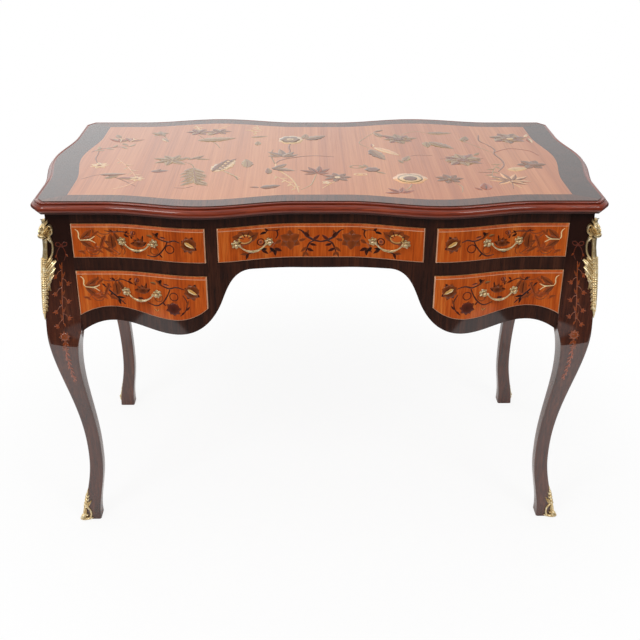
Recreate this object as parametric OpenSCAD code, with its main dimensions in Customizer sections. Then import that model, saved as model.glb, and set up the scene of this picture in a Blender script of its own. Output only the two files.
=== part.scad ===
// Serpentine writing desk with five drawers, cabriole legs and gilt mounts.
// Millimetres. Origin on the floor at the centre of the plan, +Z up, drawers towards -Y.

/* [Top] */
// Height of the writing surface above the floor
desk_h = 790; // [760:5:820]
// Width of the top surface between its corners, without the moulding
top_w = 1124; // [1100:2:1180]
// Depth of the top surface between its corners, without the moulding
top_d = 572; // [560:2:620]
// How far each swell of the front and back edge stands out
front_swell = 31; // [15:1:36]
// How far the swell of each end stands out
side_swell = 20; // [8:1:26]
// Length of the canted corners along the front
cant_x = 13; // [8:1:18]
// Length of the canted corners along the ends
cant_y = 18; // [10:1:22]
// Thickness of the core board of the top
core_t = 22; // [18:1:26]
// Thickness of the veneers on the core board
veneer_t = 2; // [1.5:0.5:3]
// Width of the crossband at the front and back
band_front = 37; // [28:1:45]
// Width of the crossband at the ends
band_side = 54; // [40:1:64]
// How far the edge moulding stands out from the core board
moulding_out = 15; // [11:1:18]
// How far the edge moulding hangs below the core board
moulding_drop = 1; // [0.5:0.5:2]

/* [Case] */
// Overhang of the top surface over the case
case_inset = 10; // [6:1:14]
// Width of the corner posts
post_w = 49; // [44:1:54]
// Depth of the front rails behind the flat of the case
rail_d = 24; // [20:1:30]
// Thickness of the end panels at their corners
panel_t = 20; // [16:1:26]
// Height of the rail above the drawers
top_rail_h = 26; // [21:1:30]
// Height of the rail between upper and lower drawers
divider_h = 28; // [24:1:32]
// Height of the apron below the lower drawers
apron_h = 31.5; // [26:0.5:38]
// Height of the frieze below the centre drawer
frieze_h = 19.5; // [16:0.5:24]
// Rise of the frieze towards its middle
frieze_dip = 3; // [1:0.5:5]
// Width of the stiles beside the kneehole
stile_w = 22; // [20:1:28]
// Thickness of the panels beside the kneehole
knee_panel_t = 18; // [14:1:20]
// Thickness of the bottom board of each pedestal
floor_t = 8; // [6:1:12]
// Width of the kickers above the upper drawers
kicker_w = 17; // [12:1:22]

/* [Drawers] */
// Width of the opening of the centre drawer
centre_w = 416; // [390:2:430]
// Height of the upper drawer openings
upper_h = 75; // [68:1:80]
// Height of the lower drawer openings at their crest
lower_h = 82; // [76:1:88]
// Depth of the scallop at the foot of the lower drawers
scallop = 22; // [14:1:26]
// Space between the drawer boxes and the back panel
back_space = 62; // [20:2:110]
// Thickness of the drawer fronts behind the face of the case
front_t = 22; // [18:1:24]
// How far the drawer fronts stand proud of the case
proud = 4; // [2:0.5:6]
// Gap round the drawer fronts
front_gap = 1; // [0.6:0.1:2]
// Thickness of the drawer sides and backs
side_t = 10; // [8:1:13]
// Thickness of the drawer bottoms
bottom_t = 5; // [4:0.5:7]
// Depth of the grooves that hold the drawer bottoms
groove_d = 4; // [2:0.5:6]
// Height of the drawer bottoms above the foot of the sides
bottom_up = 6; // [4:1:10]
// Width of the runners
runner_w = 20; // [16:1:24]
// Height of the guide that stands on each runner
guide_h = 12; // [8:1:18]
// Running gap under the drawer sides
run_gap = 0.3; // [0.2:0.05:0.6]
// Side gap between a drawer and its guides
guide_gap = 1; // [0.6:0.1:2]

/* [Legs] */
// Height of the knee above the floor
knee_z = 500; // [485:1:510]
// How far the knee stands out beyond the corner of the case
knee_out = 21; // [12:1:24]
// Height of the ankle above the floor
ankle_z = 165; // [140:1:190]
// How far the ankle is drawn in from the corner of the case
ankle_in = 24; // [16:1:28]
// Width of the leg at the ankle
ankle_w = 30; // [27:1:36]
// How far the foot is drawn in from the corner of the case
foot_in = 4; // [0:1:8]
// Width of the foot
foot_w = 37; // [33:1:42]

/* [Handles] */
// Distance between the posts of a handle
handle_w = 66; // [58:1:72]
// Drop of the bail below its pivots
bail_drop = 15; // [13:1:20]
// Radius of the bail rod
bail_r = 2.2; // [1.8:0.1:2.6]
// Distance of the pivots from the drawer front
post_l = 9; // [8.5:0.5:12]
// Radius of the rosette behind each post
rosette_r = 8.5; // [7:0.5:10]
// Radius of the pivot pins
pin_r = 1.2; // [1:0.1:1.4]
// Radial clearance of the pivot pins
pin_gap = 0.05; // [0.03:0.01:0.1]

/* [Mounts] */
// Height of the corner mounts
mount_h = 217; // [185:1:225]
// Greatest width of a corner mount on each face of the post
mount_w = 19; // [14:1:22]
// Height of the sabots
sabot_h = 78; // [60:2:90]
// Greatest width of a sabot on each face of the foot
sabot_w = 23; // [18:1:26]

/* [Hidden] */

// Colours of the woods and the gilt
dark_wood = [0.16, 0.09, 0.07];
red_wood = [0.52, 0.18, 0.13];
tulip_wood = [0.80, 0.44, 0.24];
pale_field = [0.88, 0.66, 0.52];
inner_wood = [0.72, 0.56, 0.38];
gilt = [0.83, 0.70, 0.42];

$fn = 48;

// Levels and half sizes that follow from the driving sizes
case_top = desk_h - veneer_t - core_t;
case_x = top_w / 2 - case_inset;
case_y = top_d / 2 - case_inset;
post_x = case_x - post_w;
post_y = case_y - post_w;
panel_x = case_x - panel_t;
rail_y = case_y - rail_d;
centre_x = centre_w / 2;
stile_x = centre_x + stile_w;
knee_panel_x = stile_x - knee_panel_t;
upper_top = case_top - top_rail_h;
upper_foot = upper_top - upper_h;
lower_top = upper_foot - divider_h;
crest_z = lower_top - lower_h;
arch_z = upper_foot - frieze_h;

// Outline of the top: two swells on the front and back, one on each end
plan_step = 20;
swell_past_stile = 10;
swell_x = stile_x + swell_past_stile;
swell_reach = 190;
side_reach = 165;

function swell(u) = abs(u) < 1 ? pow(cos(90 * u), 2) : 0;
function true_depth(x) = top_d / 2 + front_swell * swell((abs(x) - swell_x) / swell_reach);
function true_width(y) = top_w / 2 + side_swell * swell(y / side_reach);

// The curves run straight between stations, so that neighbours share one surface
function along(lo, hi, t) = lo + (hi - lo) * t;
function depth_at(x) =
    let(k = floor(x / plan_step))
    along(true_depth(k * plan_step), true_depth((k + 1) * plan_step), x / plan_step - k);
function width_at(y) =
    let(k = floor(y / plan_step))
    along(true_width(k * plan_step), true_width((k + 1) * plan_step), y / plan_step - k);
function marks(lo, hi) =
    [for (k = [floor(lo / plan_step) + 1 : ceil(hi / plan_step) - 1]) k * plan_step];
function in_swell(x) = abs(abs(x) - swell_x) < swell_reach + plan_step;
function stations(lo, hi) = concat([lo], [for (x = marks(lo, hi)) if (in_swell(x)) x], [hi]);
function side_stations(lo, hi) =
    concat([lo], [for (y = marks(lo, hi)) if (abs(y) < side_reach + plan_step) y], [hi]);

// Outline of the top drawn in by inset_x and inset_y, with its corners cut back by cut_x and cut_y
function front_run(inset_x, inset_y, cut_x) =
    [for (x = stations(-(top_w / 2 - inset_x - cut_x), top_w / 2 - inset_x - cut_x))
        [x, -(depth_at(x) - inset_y)]];
function right_run(inset_x, inset_y, cut_y) =
    [for (y = side_stations(-(top_d / 2 - inset_y - cut_y), top_d / 2 - inset_y - cut_y))
        [width_at(y) - inset_x, y]];
function turned(run) = [for (p = run) -p];
function reversed(line) = [for (i = [len(line) - 1 : -1 : 0]) line[i]];
function top_outline(inset_x = 0, inset_y = 0, cut_x = cant_x, cut_y = cant_y) = concat(
    front_run(inset_x, inset_y, cut_x),
    right_run(inset_x, inset_y, cut_y),
    turned(front_run(inset_x, inset_y, cut_x)),
    turned(right_run(inset_x, inset_y, cut_y)));

module top_core() {
    color(inner_wood)
        translate([0, 0, case_top])
        linear_extrude(core_t)
        polygon(top_outline());
}

module top_field_veneer() {
    color(pale_field)
        translate([0, 0, desk_h - veneer_t])
        linear_extrude(veneer_t)
        polygon(top_outline(band_side, band_front, 0, 0));
}

module top_crossband() {
    color(dark_wood)
        translate([0, 0, desk_h - veneer_t])
        linear_extrude(veneer_t)
        difference() {
            polygon(top_outline());
            polygon(top_outline(band_side, band_front, 0, 0));
        }
}

// Section of the edge moulding as [outwards, upwards] from the foot of the core board:
// a lower fillet, a large ovolo, a groove and a small bead
fillet_out = 0.5 * moulding_out;
fillet_lean = 1;
fillet_top = 1.5;
ovolo_r = 0.57 * moulding_out;
ovolo_x = moulding_out - ovolo_r;
ovolo_z = 10.5;
ovolo_from = -62;
ovolo_to = 72;
ovolo_steps = 5;
bead_r = 2.2;
bead_x = ovolo_x - 0.5;
moulding_sunk = 0.5;
moulding_top = core_t + veneer_t - moulding_sunk;
moulding_section = concat(
    [[0, -moulding_drop], [fillet_out, -moulding_drop], [fillet_out + fillet_lean, fillet_top]],
    [for (k = [0 : ovolo_steps])
        let(a = along(ovolo_from, ovolo_to, k / ovolo_steps))
        [ovolo_x + ovolo_r * cos(a), ovolo_z + ovolo_r * sin(a)]],
    [[ovolo_x, moulding_top - 2 * bead_r], [bead_x + bead_r, moulding_top - bead_r],
        [bead_x, moulding_top], [0, moulding_top]]);

function unit(v) = v / norm(v);
function outward(v) = [v[1], -v[0]];

// Outward mitre vector at corner i of a closed outline, long enough to carry a unit offset
function mitre(outline, i) =
    let(n = len(outline),
        before = unit(outward(outline[i] - outline[(i + n - 1) % n])),
        after = unit(outward(outline[(i + 1) % n] - outline[i])),
        both = before + after)
    2 * both / (both * both);

// Faces of a skin over rings of equal length, wound in a lattice of triangles. A skin with a
// turn of 1 joins its last ring to its first, and a skin with a turn of 0 has flat ends.
function lattice(rings, sides, turn) = [
    for (r = [0 : rings - 2 + turn], s = [0 : sides - 1], half = [0, 1])
        let(next = (r + 1) % rings, on = (s + 1) % sides)
        half == 0
            ? [r * sides + s, next * sides + s, r * sides + on]
            : [r * sides + on, next * sides + s, next * sides + on]];

// The flat ends of a skin, given as convex pieces of one ring
function ends(rings, sides, cap) = concat(
    cap,
    [for (piece = cap) [for (p = reversed(piece)) (rings - 1) * sides + p]]);

module skin(rings, cap) {
    polyhedron(
        points = [for (ring = rings) each ring],
        faces = concat(
            lattice(len(rings), len(rings[0]), 0),
            ends(len(rings), len(rings[0]), cap)));
}

module closed_skin(rings) {
    polyhedron(
        points = [for (ring = rings) each ring],
        faces = lattice(len(rings), len(rings[0]), 1));
}

// The section follows the whole edge of the core board, mitred at every corner
module top_edge_moulding() {
    outline = top_outline();
    color(red_wood)
        closed_skin([for (i = [0 : len(outline) - 1])
            let(at = outline[i], out = mitre(outline, i))
            [for (p = reversed(moulding_section))
                [at[0] + out[0] * p[0], at[1] + out[1] * p[0], case_top + p[1]]]]);
}

// Cabriole leg: the outer corner swings out at the knee, in at the ankle and out to the foot
knee_swing = (ankle_in + knee_out) / 2;
swing_power = 0.85;
toe_power = 1.2;
taper_power = 2.7;
spread_power = 1.5;
function corner_in(z) =
    z >= knee_z
        ? -knee_out * (1 + cos(180 * (z - knee_z) / (case_top - knee_z))) / 2
        : z >= ankle_z
        ? ankle_in - knee_swing - knee_swing * cos(180 * pow((knee_z - z) / (knee_z - ankle_z), swing_power))
        : (ankle_in + foot_in) / 2
            + (ankle_in - foot_in) / 2 * cos(180 * pow((ankle_z - z) / ankle_z, toe_power));

// The leg's inner faces stay in line with the post above the knee and follow the corner below it
knee_w = post_w + knee_out;
function leg_w(z) =
    z >= ankle_z
        ? ankle_w + (knee_w - ankle_w) * pow((z - ankle_z) / (knee_z - ankle_z), taper_power)
        : ankle_w + (foot_w - ankle_w) * pow((ankle_z - z) / ankle_z, spread_power);
function leg_inner(z) = z >= knee_z ? post_w : corner_in(z) + leg_w(z);

// Above the apron the faces lie flush with the case at the inner edge, and swing out below it
flare_over = 32;
flare_top = knee_z + flare_over;
flare_h = 72;
function ease(t) = t <= 0 ? 0 : t >= 1 ? 1 : t * t * (3 - 2 * t);
function face_in(z) = corner_in(z) * ease((flare_top - z) / flare_h);

// The four corners of the leg at height z: inner, side, outer and front
function leg_corners(z) = [
    [case_x - leg_inner(z), case_y - leg_inner(z)],
    [case_x - face_in(z), case_y - leg_inner(z)],
    [case_x - corner_in(z), case_y - corner_in(z)],
    [case_x - leg_inner(z), case_y - face_in(z)]];

corner_steps = 3;
function bent(a, b, c, t) = (1 - t) * (1 - t) * a + 2 * t * (1 - t) * b + t * t * c;
function softened(corners, radii) =
    [for (i = [0 : 3], k = [0 : corner_steps])
        let(at = corners[i],
            back = unit(corners[(i + 3) % 4] - at) * radii[i],
            on = unit(corners[(i + 1) % 4] - at) * radii[i])
        bent(at + back, at, at + on, k / corner_steps)];

arris_r = 5;
post_edge_r = 1;
leg_edge_r = 5;
edge_fade = 60;
function edge_r(z) = along(post_edge_r, leg_edge_r, ease((knee_z - z) / edge_fade));
toe_rings = 10;
shin_rings = 18;
post_rings = 12;
leg_sides = 4 * (corner_steps + 1);

module leg() {
    levels = concat(
        [for (k = [0 : toe_rings]) along(0, ankle_z, k / toe_rings)],
        [for (k = [1 : shin_rings]) along(ankle_z, flare_top, k / shin_rings)],
        [for (k = [1 : post_rings]) along(flare_top, case_top, k / post_rings)]);
    color(dark_wood)
        skin(
            [for (z = levels)
                let(r = edge_r(z))
                [for (p = softened(leg_corners(z), [r, r, arris_r, r])) [p[0], p[1], z]]],
            [[for (s = [0 : leg_sides - 1]) s]]);
}

module at_corner(side, end) {
    mirror([side < 0 ? 1 : 0, 0, 0])
        mirror([0, end < 0 ? 1 : 0, 0])
        children();
}

// Lines of the front: foot of the lower drawers, and foot of the apron with the kneehole arch.
// Both run from the post towards the middle of the desk: up over an outer lobe to a crest, down to
// a trough, then round a curve whose two pulls shape it.
lobe_w = 68;
crest_x = post_x - lobe_w;
trough_past_stile = 75;
trough_x = stile_x + trough_past_stile;
lobe_steps = 5;
wave_steps = 9;
turn_steps = 7;

function wave(x, crest, low, lobe_fall) =
    x > crest_x
        ? crest - lobe_fall * pow((x - crest_x) / lobe_w, 2)
        : crest - low * (1 - cos(180 * (crest_x - x) / (crest_x - trough_x))) / 2;
function wave_run(crest, low, lobe_fall) = concat(
    [for (k = [0 : lobe_steps - 1])
        let(x = along(post_x, crest_x, k / lobe_steps)) [x, wave(x, crest, low, lobe_fall)]],
    [for (k = [0 : wave_steps])
        let(x = along(crest_x, trough_x, k / wave_steps)) [x, wave(x, crest, low, lobe_fall)]]);
function cubic(a, b, c, d, t) =
    pow(1 - t, 3) * a + 3 * t * pow(1 - t, 2) * b + 3 * t * t * (1 - t) * c + pow(t, 3) * d;
function turn(from, pull_from, pull_to, to) =
    [for (k = [1 : turn_steps]) cubic(from, from + pull_from, to + pull_to, to, k / turn_steps)];

drawer_pull = [[-28, 0], [20, -20]];
apron_pull = [[-50, 0], [19, -46]];
arch_pull = [[-13, 34], [36, 0]];
drawer_end_up = 10;
drawer_end_z = crest_z + drawer_end_up;
drawer_trough = [trough_x, crest_z - scallop];
drawer_line = concat(
    wave_run(crest_z, scallop, scallop - 1),
    turn(drawer_trough, drawer_pull[0], drawer_pull[1], [stile_x, drawer_end_z]));

apron_crest = crest_z - apron_h;
apron_deeper = 1.5;
apron_low = scallop + apron_deeper;
apron_fall = apron_low + 4;
apron_trough = [trough_x, apron_crest - apron_low];
waist_in = 5;
waist_up = 13;
shoulder_in = 66;
waist = [centre_x - waist_in, drawer_end_z + waist_up];
shoulder = [centre_x - shoulder_in, arch_z];
apron_line = concat(
    wave_run(apron_crest, apron_low, apron_fall),
    turn(apron_trough, apron_pull[0], apron_pull[1], waist),
    turn(waist, arch_pull[0], arch_pull[1], shoulder));
frieze_steps = 4;
frieze_line = [for (k = [1 : frieze_steps])
    let(x = shoulder[0] * (1 - k / frieze_steps))
    [x, arch_z - frieze_dip * (1 - pow(x / shoulder[0], 2))]];
below_all = apron_crest - 2 * scallop;

// Points of a line beyond x, short of x, and its mirror image in the middle of the desk
function outside(line, x) = [for (p = line) if (p[0] > x + 0.01) p];
function inside(line, x) = [for (p = line) if (p[0] < x - 0.01) p];
function mirrored(line) = [for (p = reversed(line)) [-p[0], p[1]]];
function beyond_first(line) = [for (i = [1 : len(line) - 1]) line[i]];

// Height of a line of falling x at x, taken straight between its points
function height_on(line, x, i = 0) =
    line[i + 1][0] <= x || i + 2 >= len(line)
        ? along(line[i][1], line[i + 1][1], (x - line[i][0]) / (line[i + 1][0] - line[i][0]))
        : height_on(line, x, i + 1);

// A slab between levels lo and hi whose front follows the swells, from x0 to x1
module serpentine(x0, x1, lo, hi, out, back) {
    translate([0, 0, lo])
        linear_extrude(hi - lo)
        polygon(concat(
            [for (x = stations(x0, x1)) [x, -(depth_at(x) - case_inset + out)]],
            [[x1, -back], [x0, -back]]));
}

// A slab whose inner face follows the swells too
module bent_board(x0, x1, lo, hi, out, inner) {
    run = stations(x0, x1);
    translate([0, 0, lo])
        linear_extrude(hi - lo)
        polygon(concat(
            [for (x = run) [x, -(depth_at(x) - case_inset + out)]],
            [for (x = reversed(run)) [x, -(depth_at(x) - case_inset - inner)]]));
}

// An outline in X and Z carried through the whole depth of the desk
module through_depth(outline) {
    rotate([90, 0, 0])
        linear_extrude(2 * top_d, center = true)
        polygon(outline);
}

// Right-hand pieces are drawn once, and the left-hand ones are their mirror image
module on_side(side) {
    mirror([side < 0 ? 1 : 0, 0, 0])
        children();
}

module top_rail() {
    color(dark_wood)
        serpentine(-post_x, post_x, upper_top, case_top, 0, rail_y);
}

module divider_rail() {
    color(dark_wood)
        serpentine(stile_x, post_x, lower_top, upper_foot, 0, rail_y);
}

module apron() {
    color(dark_wood)
        intersection() {
            serpentine(stile_x, post_x, below_all, lower_top, 0, rail_y);
            through_depth(concat(
                outside(apron_line, stile_x),
                [[stile_x, height_on(apron_line, stile_x)]],
                reversed(drawer_line)));
        }
}

// The stiles and the frieze meet on a mitre from the corner of the drawer opening to the arch
arch_cut_in = 28;
arch_cut_x = waist[0] - arch_cut_in;
arch_cut = [arch_cut_x, height_on(apron_line, arch_cut_x)];

module kneehole_stile() {
    color(dark_wood)
        intersection() {
            serpentine(arch_cut_x, stile_x, below_all, upper_top, 0, rail_y);
            through_depth(concat(
                [[stile_x, height_on(apron_line, stile_x)]],
                inside(outside(apron_line, arch_cut_x), stile_x),
                [arch_cut, [centre_x, upper_foot], [centre_x, upper_top], [stile_x, upper_top]]));
        }
}

module kneehole_frieze() {
    half = concat([[centre_x, upper_foot], arch_cut], inside(apron_line, arch_cut_x), frieze_line);
    color(dark_wood)
        intersection() {
            serpentine(-centre_x, centre_x, below_all, upper_foot, 0, rail_y);
            through_depth(concat(half, beyond_first(mirrored(half))));
        }
}

// End panel: swelled outside, flat inside, with a scalloped foot like the aprons
side_crest_y = 0.66 * post_y;
function side_foot(y) =
    abs(y) > side_crest_y
        ? apron_crest - apron_fall * pow((abs(y) - side_crest_y) / (post_y - side_crest_y), 2)
        : apron_crest - apron_low * (1 + cos(180 * y / side_crest_y)) / 2;
side_steps = 36;

module side_panel() {
    color(dark_wood)
        intersection() {
            translate([0, 0, below_all])
                linear_extrude(case_top - below_all)
                polygon(concat(
                    [for (y = side_stations(-post_y, post_y)) [width_at(y) - case_inset, y]],
                    [[panel_x, post_y], [panel_x, -post_y]]));
            rotate([90, 0, 90])
                linear_extrude(top_w)
                polygon(concat(
                    [for (k = [0 : side_steps])
                        let(y = along(-post_y, post_y, k / side_steps)) [y, side_foot(y)]],
                    [[post_y, case_top], [-post_y, case_top]]));
        }
}

module back_panel() {
    half = concat([[post_x, case_top]], apron_line, frieze_line);
    color(dark_wood)
        rotate([0, 0, 180])
        intersection() {
            serpentine(-post_x, post_x, below_all, case_top, 0, rail_y);
            through_depth(concat(half, beyond_first(mirrored(half))));
        }
}

// Outlines of the drawer fronts, drawn in by the gap
front_in = stile_x + front_gap;
front_out = post_x - front_gap;
lower_outline = concat(
    [[front_out, lower_top - front_gap], [front_out, height_on(drawer_line, front_out) + front_gap]],
    [for (p = inside(outside(drawer_line, front_in), front_out)) [p[0], p[1] + front_gap]],
    [[front_in, drawer_end_z + front_gap], [front_in, lower_top - front_gap]]);

module upper_front_solid(out, inner) {
    bent_board(front_in, front_out, upper_foot + front_gap, upper_top - front_gap, out, inner);
}

module lower_front_solid(out, inner) {
    intersection() {
        bent_board(front_in, front_out, below_all, lower_top, out, inner);
        through_depth(lower_outline);
    }
}

module centre_front_solid(out, inner) {
    bent_board(-centre_x + front_gap, centre_x - front_gap,
        upper_foot + front_gap, upper_top - front_gap, out, inner);
}

// Raised panels on the back that match the drawer fronts
module sham_drawer_fronts() {
    color(tulip_wood)
        rotate([0, 0, 180]) {
            centre_front_solid(proud, 0);
            for (side = [-1, 1])
                on_side(side) {
                    upper_front_solid(proud, 0);
                    lower_front_solid(proud, 0);
                }
        }
}

// Levels of the drawer boxes and their runners
upper_box_z = upper_foot + front_gap;
lower_box_z = drawer_end_z + front_gap;
runner_top_upper = upper_box_z - run_gap;
runner_top_lower = lower_box_z - run_gap;
lower_runner_h = 20;
floor_z = runner_top_lower - lower_runner_h - floor_t;

// Panel beside the kneehole, from half way down the lower runner to the core board
module kneehole_panel() {
    foot = runner_top_lower - lower_runner_h / 2;
    color(dark_wood)
        translate([knee_panel_x, -rail_y, foot])
        cube([knee_panel_t, 2 * rail_y, case_top - foot]);
}

// Plan of whatever fills the pedestal from x0 outwards, notched round the posts
module pedestal_plan(x0) {
    polygon([
        [x0, -rail_y], [post_x, -rail_y], [post_x, -post_y], [panel_x, -post_y],
        [panel_x, post_y], [post_x, post_y], [post_x, rail_y], [x0, rail_y]]);
}

module pedestal_bottom() {
    color(inner_wood)
        translate([0, 0, floor_z])
        linear_extrude(floor_t)
        pedestal_plan(stile_x);
}

// Side drawers run from box_in to box_out; the guide stands just outside box_out
box_step = 5;
box_in = stile_x + guide_gap;
box_out = post_x - box_step;
guide_x = box_out + guide_gap;

module outer_runner(foot, top) {
    translate([0, 0, foot])
        linear_extrude(top - foot)
        pedestal_plan(box_out - runner_w);
    translate([guide_x, -post_y, top])
        cube([panel_x - guide_x, 2 * post_y, guide_h]);
}

module inner_runner(foot, top) {
    translate([stile_x, -rail_y, foot])
        cube([runner_w, 2 * rail_y, top - foot]);
}

module runners() {
    color(inner_wood) {
        outer_runner(lower_top, runner_top_upper);
        inner_runner(lower_top, runner_top_upper);
        outer_runner(runner_top_lower - lower_runner_h, runner_top_lower);
        inner_runner(runner_top_lower - lower_runner_h, runner_top_lower);
    }
}

// Runners of the centre drawer, on the kneehole panels
centre_box_x = centre_x - 2 * front_gap;
module centre_runner() {
    foot = upper_foot - frieze_h;
    translate([centre_box_x - runner_w, -rail_y, foot])
        cube([knee_panel_x - centre_box_x + runner_w, 2 * rail_y, runner_top_upper - foot]);
    translate([centre_box_x + guide_gap, -rail_y, runner_top_upper])
        cube([knee_panel_x - centre_box_x - guide_gap, 2 * rail_y, guide_h]);
}

module runners_centre() {
    color(inner_wood)
        for (side = [-1, 1])
            on_side(side)
                centre_runner();
}

// Stop blocks behind each drawer, standing on the runners
stop_l = 14;
stop_h = 12;
box_back = rail_y - back_space;
module stop_block(x, z) {
    translate([x, box_back + run_gap, z])
        cube([side_t, stop_l, stop_h]);
}

module drawer_stops() {
    color(inner_wood)
        for (side = [-1, 1])
            on_side(side) {
                stop_block(box_in, runner_top_upper);
                stop_block(box_out - side_t, runner_top_upper);
                stop_block(box_in, runner_top_lower);
                stop_block(box_out - side_t, runner_top_lower);
                stop_block(centre_box_x - side_t, runner_top_upper);
            }
}

// Kickers under the core board keep the upper drawers from tipping
module kicker(x, width, reach) {
    translate([x, -reach, upper_top])
        cube([width, 2 * reach, top_rail_h]);
}

module kickers() {
    color(inner_wood)
        for (side = [-1, 1])
            on_side(side) {
                kicker(stile_x, kicker_w, rail_y);
                kicker(box_out - side_t, panel_x - box_out + side_t, post_y);
                kicker(knee_panel_x - kicker_w, kicker_w, rail_y);
            }
}

// Triangular glue blocks between the core board and the front and back of the case
block_s = 18;
block_l = 44;
block_in = 80;
block_places = [0, centre_x / 2, stile_x + block_in, post_x - block_in];
module glue_block() {
    rotate([90, 0, 90])
        linear_extrude(block_l, center = true)
        polygon([[0, 0], [block_s, 0], [0, -block_s]]);
}

module glue_blocks() {
    color(inner_wood)
        for (x = concat(beyond_first(block_places), -block_places)) {
            translate([x, -rail_y, case_top])
                glue_block();
            translate([x, rail_y, case_top])
                mirror([0, 1, 0])
                glue_block();
        }
}

// Drawer box from x0 to x1 and lo to hi; its front ends follow the inner face of the drawer front
module box_wall(x0, x1, lo, hi) {
    translate([0, 0, lo])
        linear_extrude(hi - lo)
        polygon(concat(
            [for (x = stations(x0, x1)) [x, -(depth_at(x) - case_inset - front_t)]],
            [[x1, box_back], [x0, box_back]]));
}

// The bottom board has some slack in its grooves, and the back stands lower than the sides
groove_slack = 0.2;
back_drop = 2;
over = 1;

// Sides and back in one: the space inside is cut out, then the groove round it, the way in for
// the bottom board under the back, and the top of the back
module drawer_sides(x0, x1, lo, hi) {
    foot = lo + bottom_up;
    inner_w = x1 - x0 - 2 * side_t;
    color(inner_wood)
        difference() {
            box_wall(x0, x1, lo, hi);
            translate([x0 + side_t, -top_d, lo - over])
                cube([inner_w, top_d + box_back - side_t, hi - lo + 2 * over]);
            translate([x0 + side_t - groove_d, -top_d, foot])
                cube([inner_w + 2 * groove_d, 2 * top_d, bottom_t + groove_slack]);
            translate([x0 + side_t, -top_d, lo - over])
                cube([inner_w, 2 * top_d, foot + bottom_t - lo + over]);
            translate([x0 + side_t, -top_d, hi - back_drop])
                cube([inner_w, 2 * top_d, back_drop + over]);
        }
}

module upper_sides() {
    drawer_sides(box_in, box_out, upper_box_z, upper_top - front_gap);
}

module lower_sides() {
    drawer_sides(box_in, box_out, lower_box_z, lower_top - front_gap);
}

module centre_sides() {
    drawer_sides(-centre_box_x, centre_box_x, upper_box_z, upper_top - front_gap);
}

module drawer_bottom(x0, x1, lo) {
    color(inner_wood)
        box_wall(x0 + side_t - groove_d + groove_slack, x1 - side_t + groove_d - groove_slack,
            lo + bottom_up, lo + bottom_up + bottom_t);
}

module upper_bottom() {
    drawer_bottom(box_in, box_out, upper_box_z);
}

module lower_bottom() {
    drawer_bottom(box_in, box_out, lower_box_z);
}

module centre_bottom() {
    drawer_bottom(-centre_box_x, centre_box_x, upper_box_z);
}

// Handles. Each post stands square to the swelled front at its own place.
handle_in = 70;
handle_up = 39;
handle_down = 44;
handle_out = 1.5;
handle_side_x = (stile_x + post_x) / 2 + handle_out;
handle_centre_x = centre_x - handle_in;
handle_upper_z = upper_foot + handle_up;
handle_lower_z = lower_top - handle_down;
stem_r = 2;
stem_gap = 0.1;
head_r = 4.2;
neck_r = 2.6;
rosette_t = 2;
nut_r = 5;
nut_t = 4;
seat_gap = 0.35;

function slope_at(x) = (true_depth(x + 1) - true_depth(x - 1)) / 2;
function face_y(x) = -(depth_at(x) - case_inset + proud);
function lean(x) = -atan(slope_at(x));
function head_place(x) = [x + sin(lean(x)) * post_l, face_y(x) - cos(lean(x)) * post_l];

module square_to_front(x, z) {
    translate([x, face_y(x), z])
        rotate([0, 0, lean(x)])
        rotate([90, 0, 0])
        children();
}

// Thickness of the drawer front measured square to its face
function square_t(x) = (front_t + proud) * cos(lean(x));

module stem_holes(places, z) {
    for (x = places)
        square_to_front(x, z)
            translate([0, 0, -2 * (front_t + proud)])
            cylinder(h = 3 * (front_t + proud), r = stem_r + stem_gap);
}

rosette_profile = [
    [0, 0], [rosette_r, 0], [rosette_r, 0.6 * rosette_t], [0.86 * rosette_r, rosette_t],
    [0.72 * rosette_r, 0.7 * rosette_t], [0.55 * rosette_r, 1.5 * rosette_t],
    [0.36 * rosette_r, 1.7 * rosette_t], [neck_r, 2.2 * rosette_t], [neck_r, post_l], [0, post_l]];

module post(x, z, axis_turn) {
    difference() {
        square_to_front(x, z) {
            translate([0, 0, seat_gap])
                rotate_extrude()
                polygon(rosette_profile);
            translate([0, 0, post_l])
                sphere(head_r);
            translate([0, 0, -square_t(x) - nut_t - over])
                cylinder(h = square_t(x) + nut_t + 2 * over, r = stem_r);
        }
        translate([head_place(x)[0], head_place(x)[1], z])
            rotate([0, 0, axis_turn])
            rotate([0, 90, 0])
            cylinder(h = 4 * head_r, r = pin_r + pin_gap, center = true);
    }
}

module nut(x, z) {
    square_to_front(x, z)
        translate([0, 0, -square_t(x) - nut_t - seat_gap])
        difference() {
            cylinder(h = nut_t, r = nut_r, $fn = 6);
            translate([0, 0, -over])
                cylinder(h = nut_t + 2 * over, r = stem_r + pin_gap);
        }
}

function handle_turn(x) =
    let(across = head_place(x + handle_w / 2) - head_place(x - handle_w / 2))
    atan2(across[1], across[0]);

module handle_posts(x, z) {
    color(gilt)
        for (place = [x - handle_w / 2, x + handle_w / 2]) {
            post(place, z, handle_turn(x));
            nut(place, z);
        }
}

module centre_posts() {
    for (side = [-1, 1])
        on_side(side)
            handle_posts(handle_centre_x, handle_upper_z);
}

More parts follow.
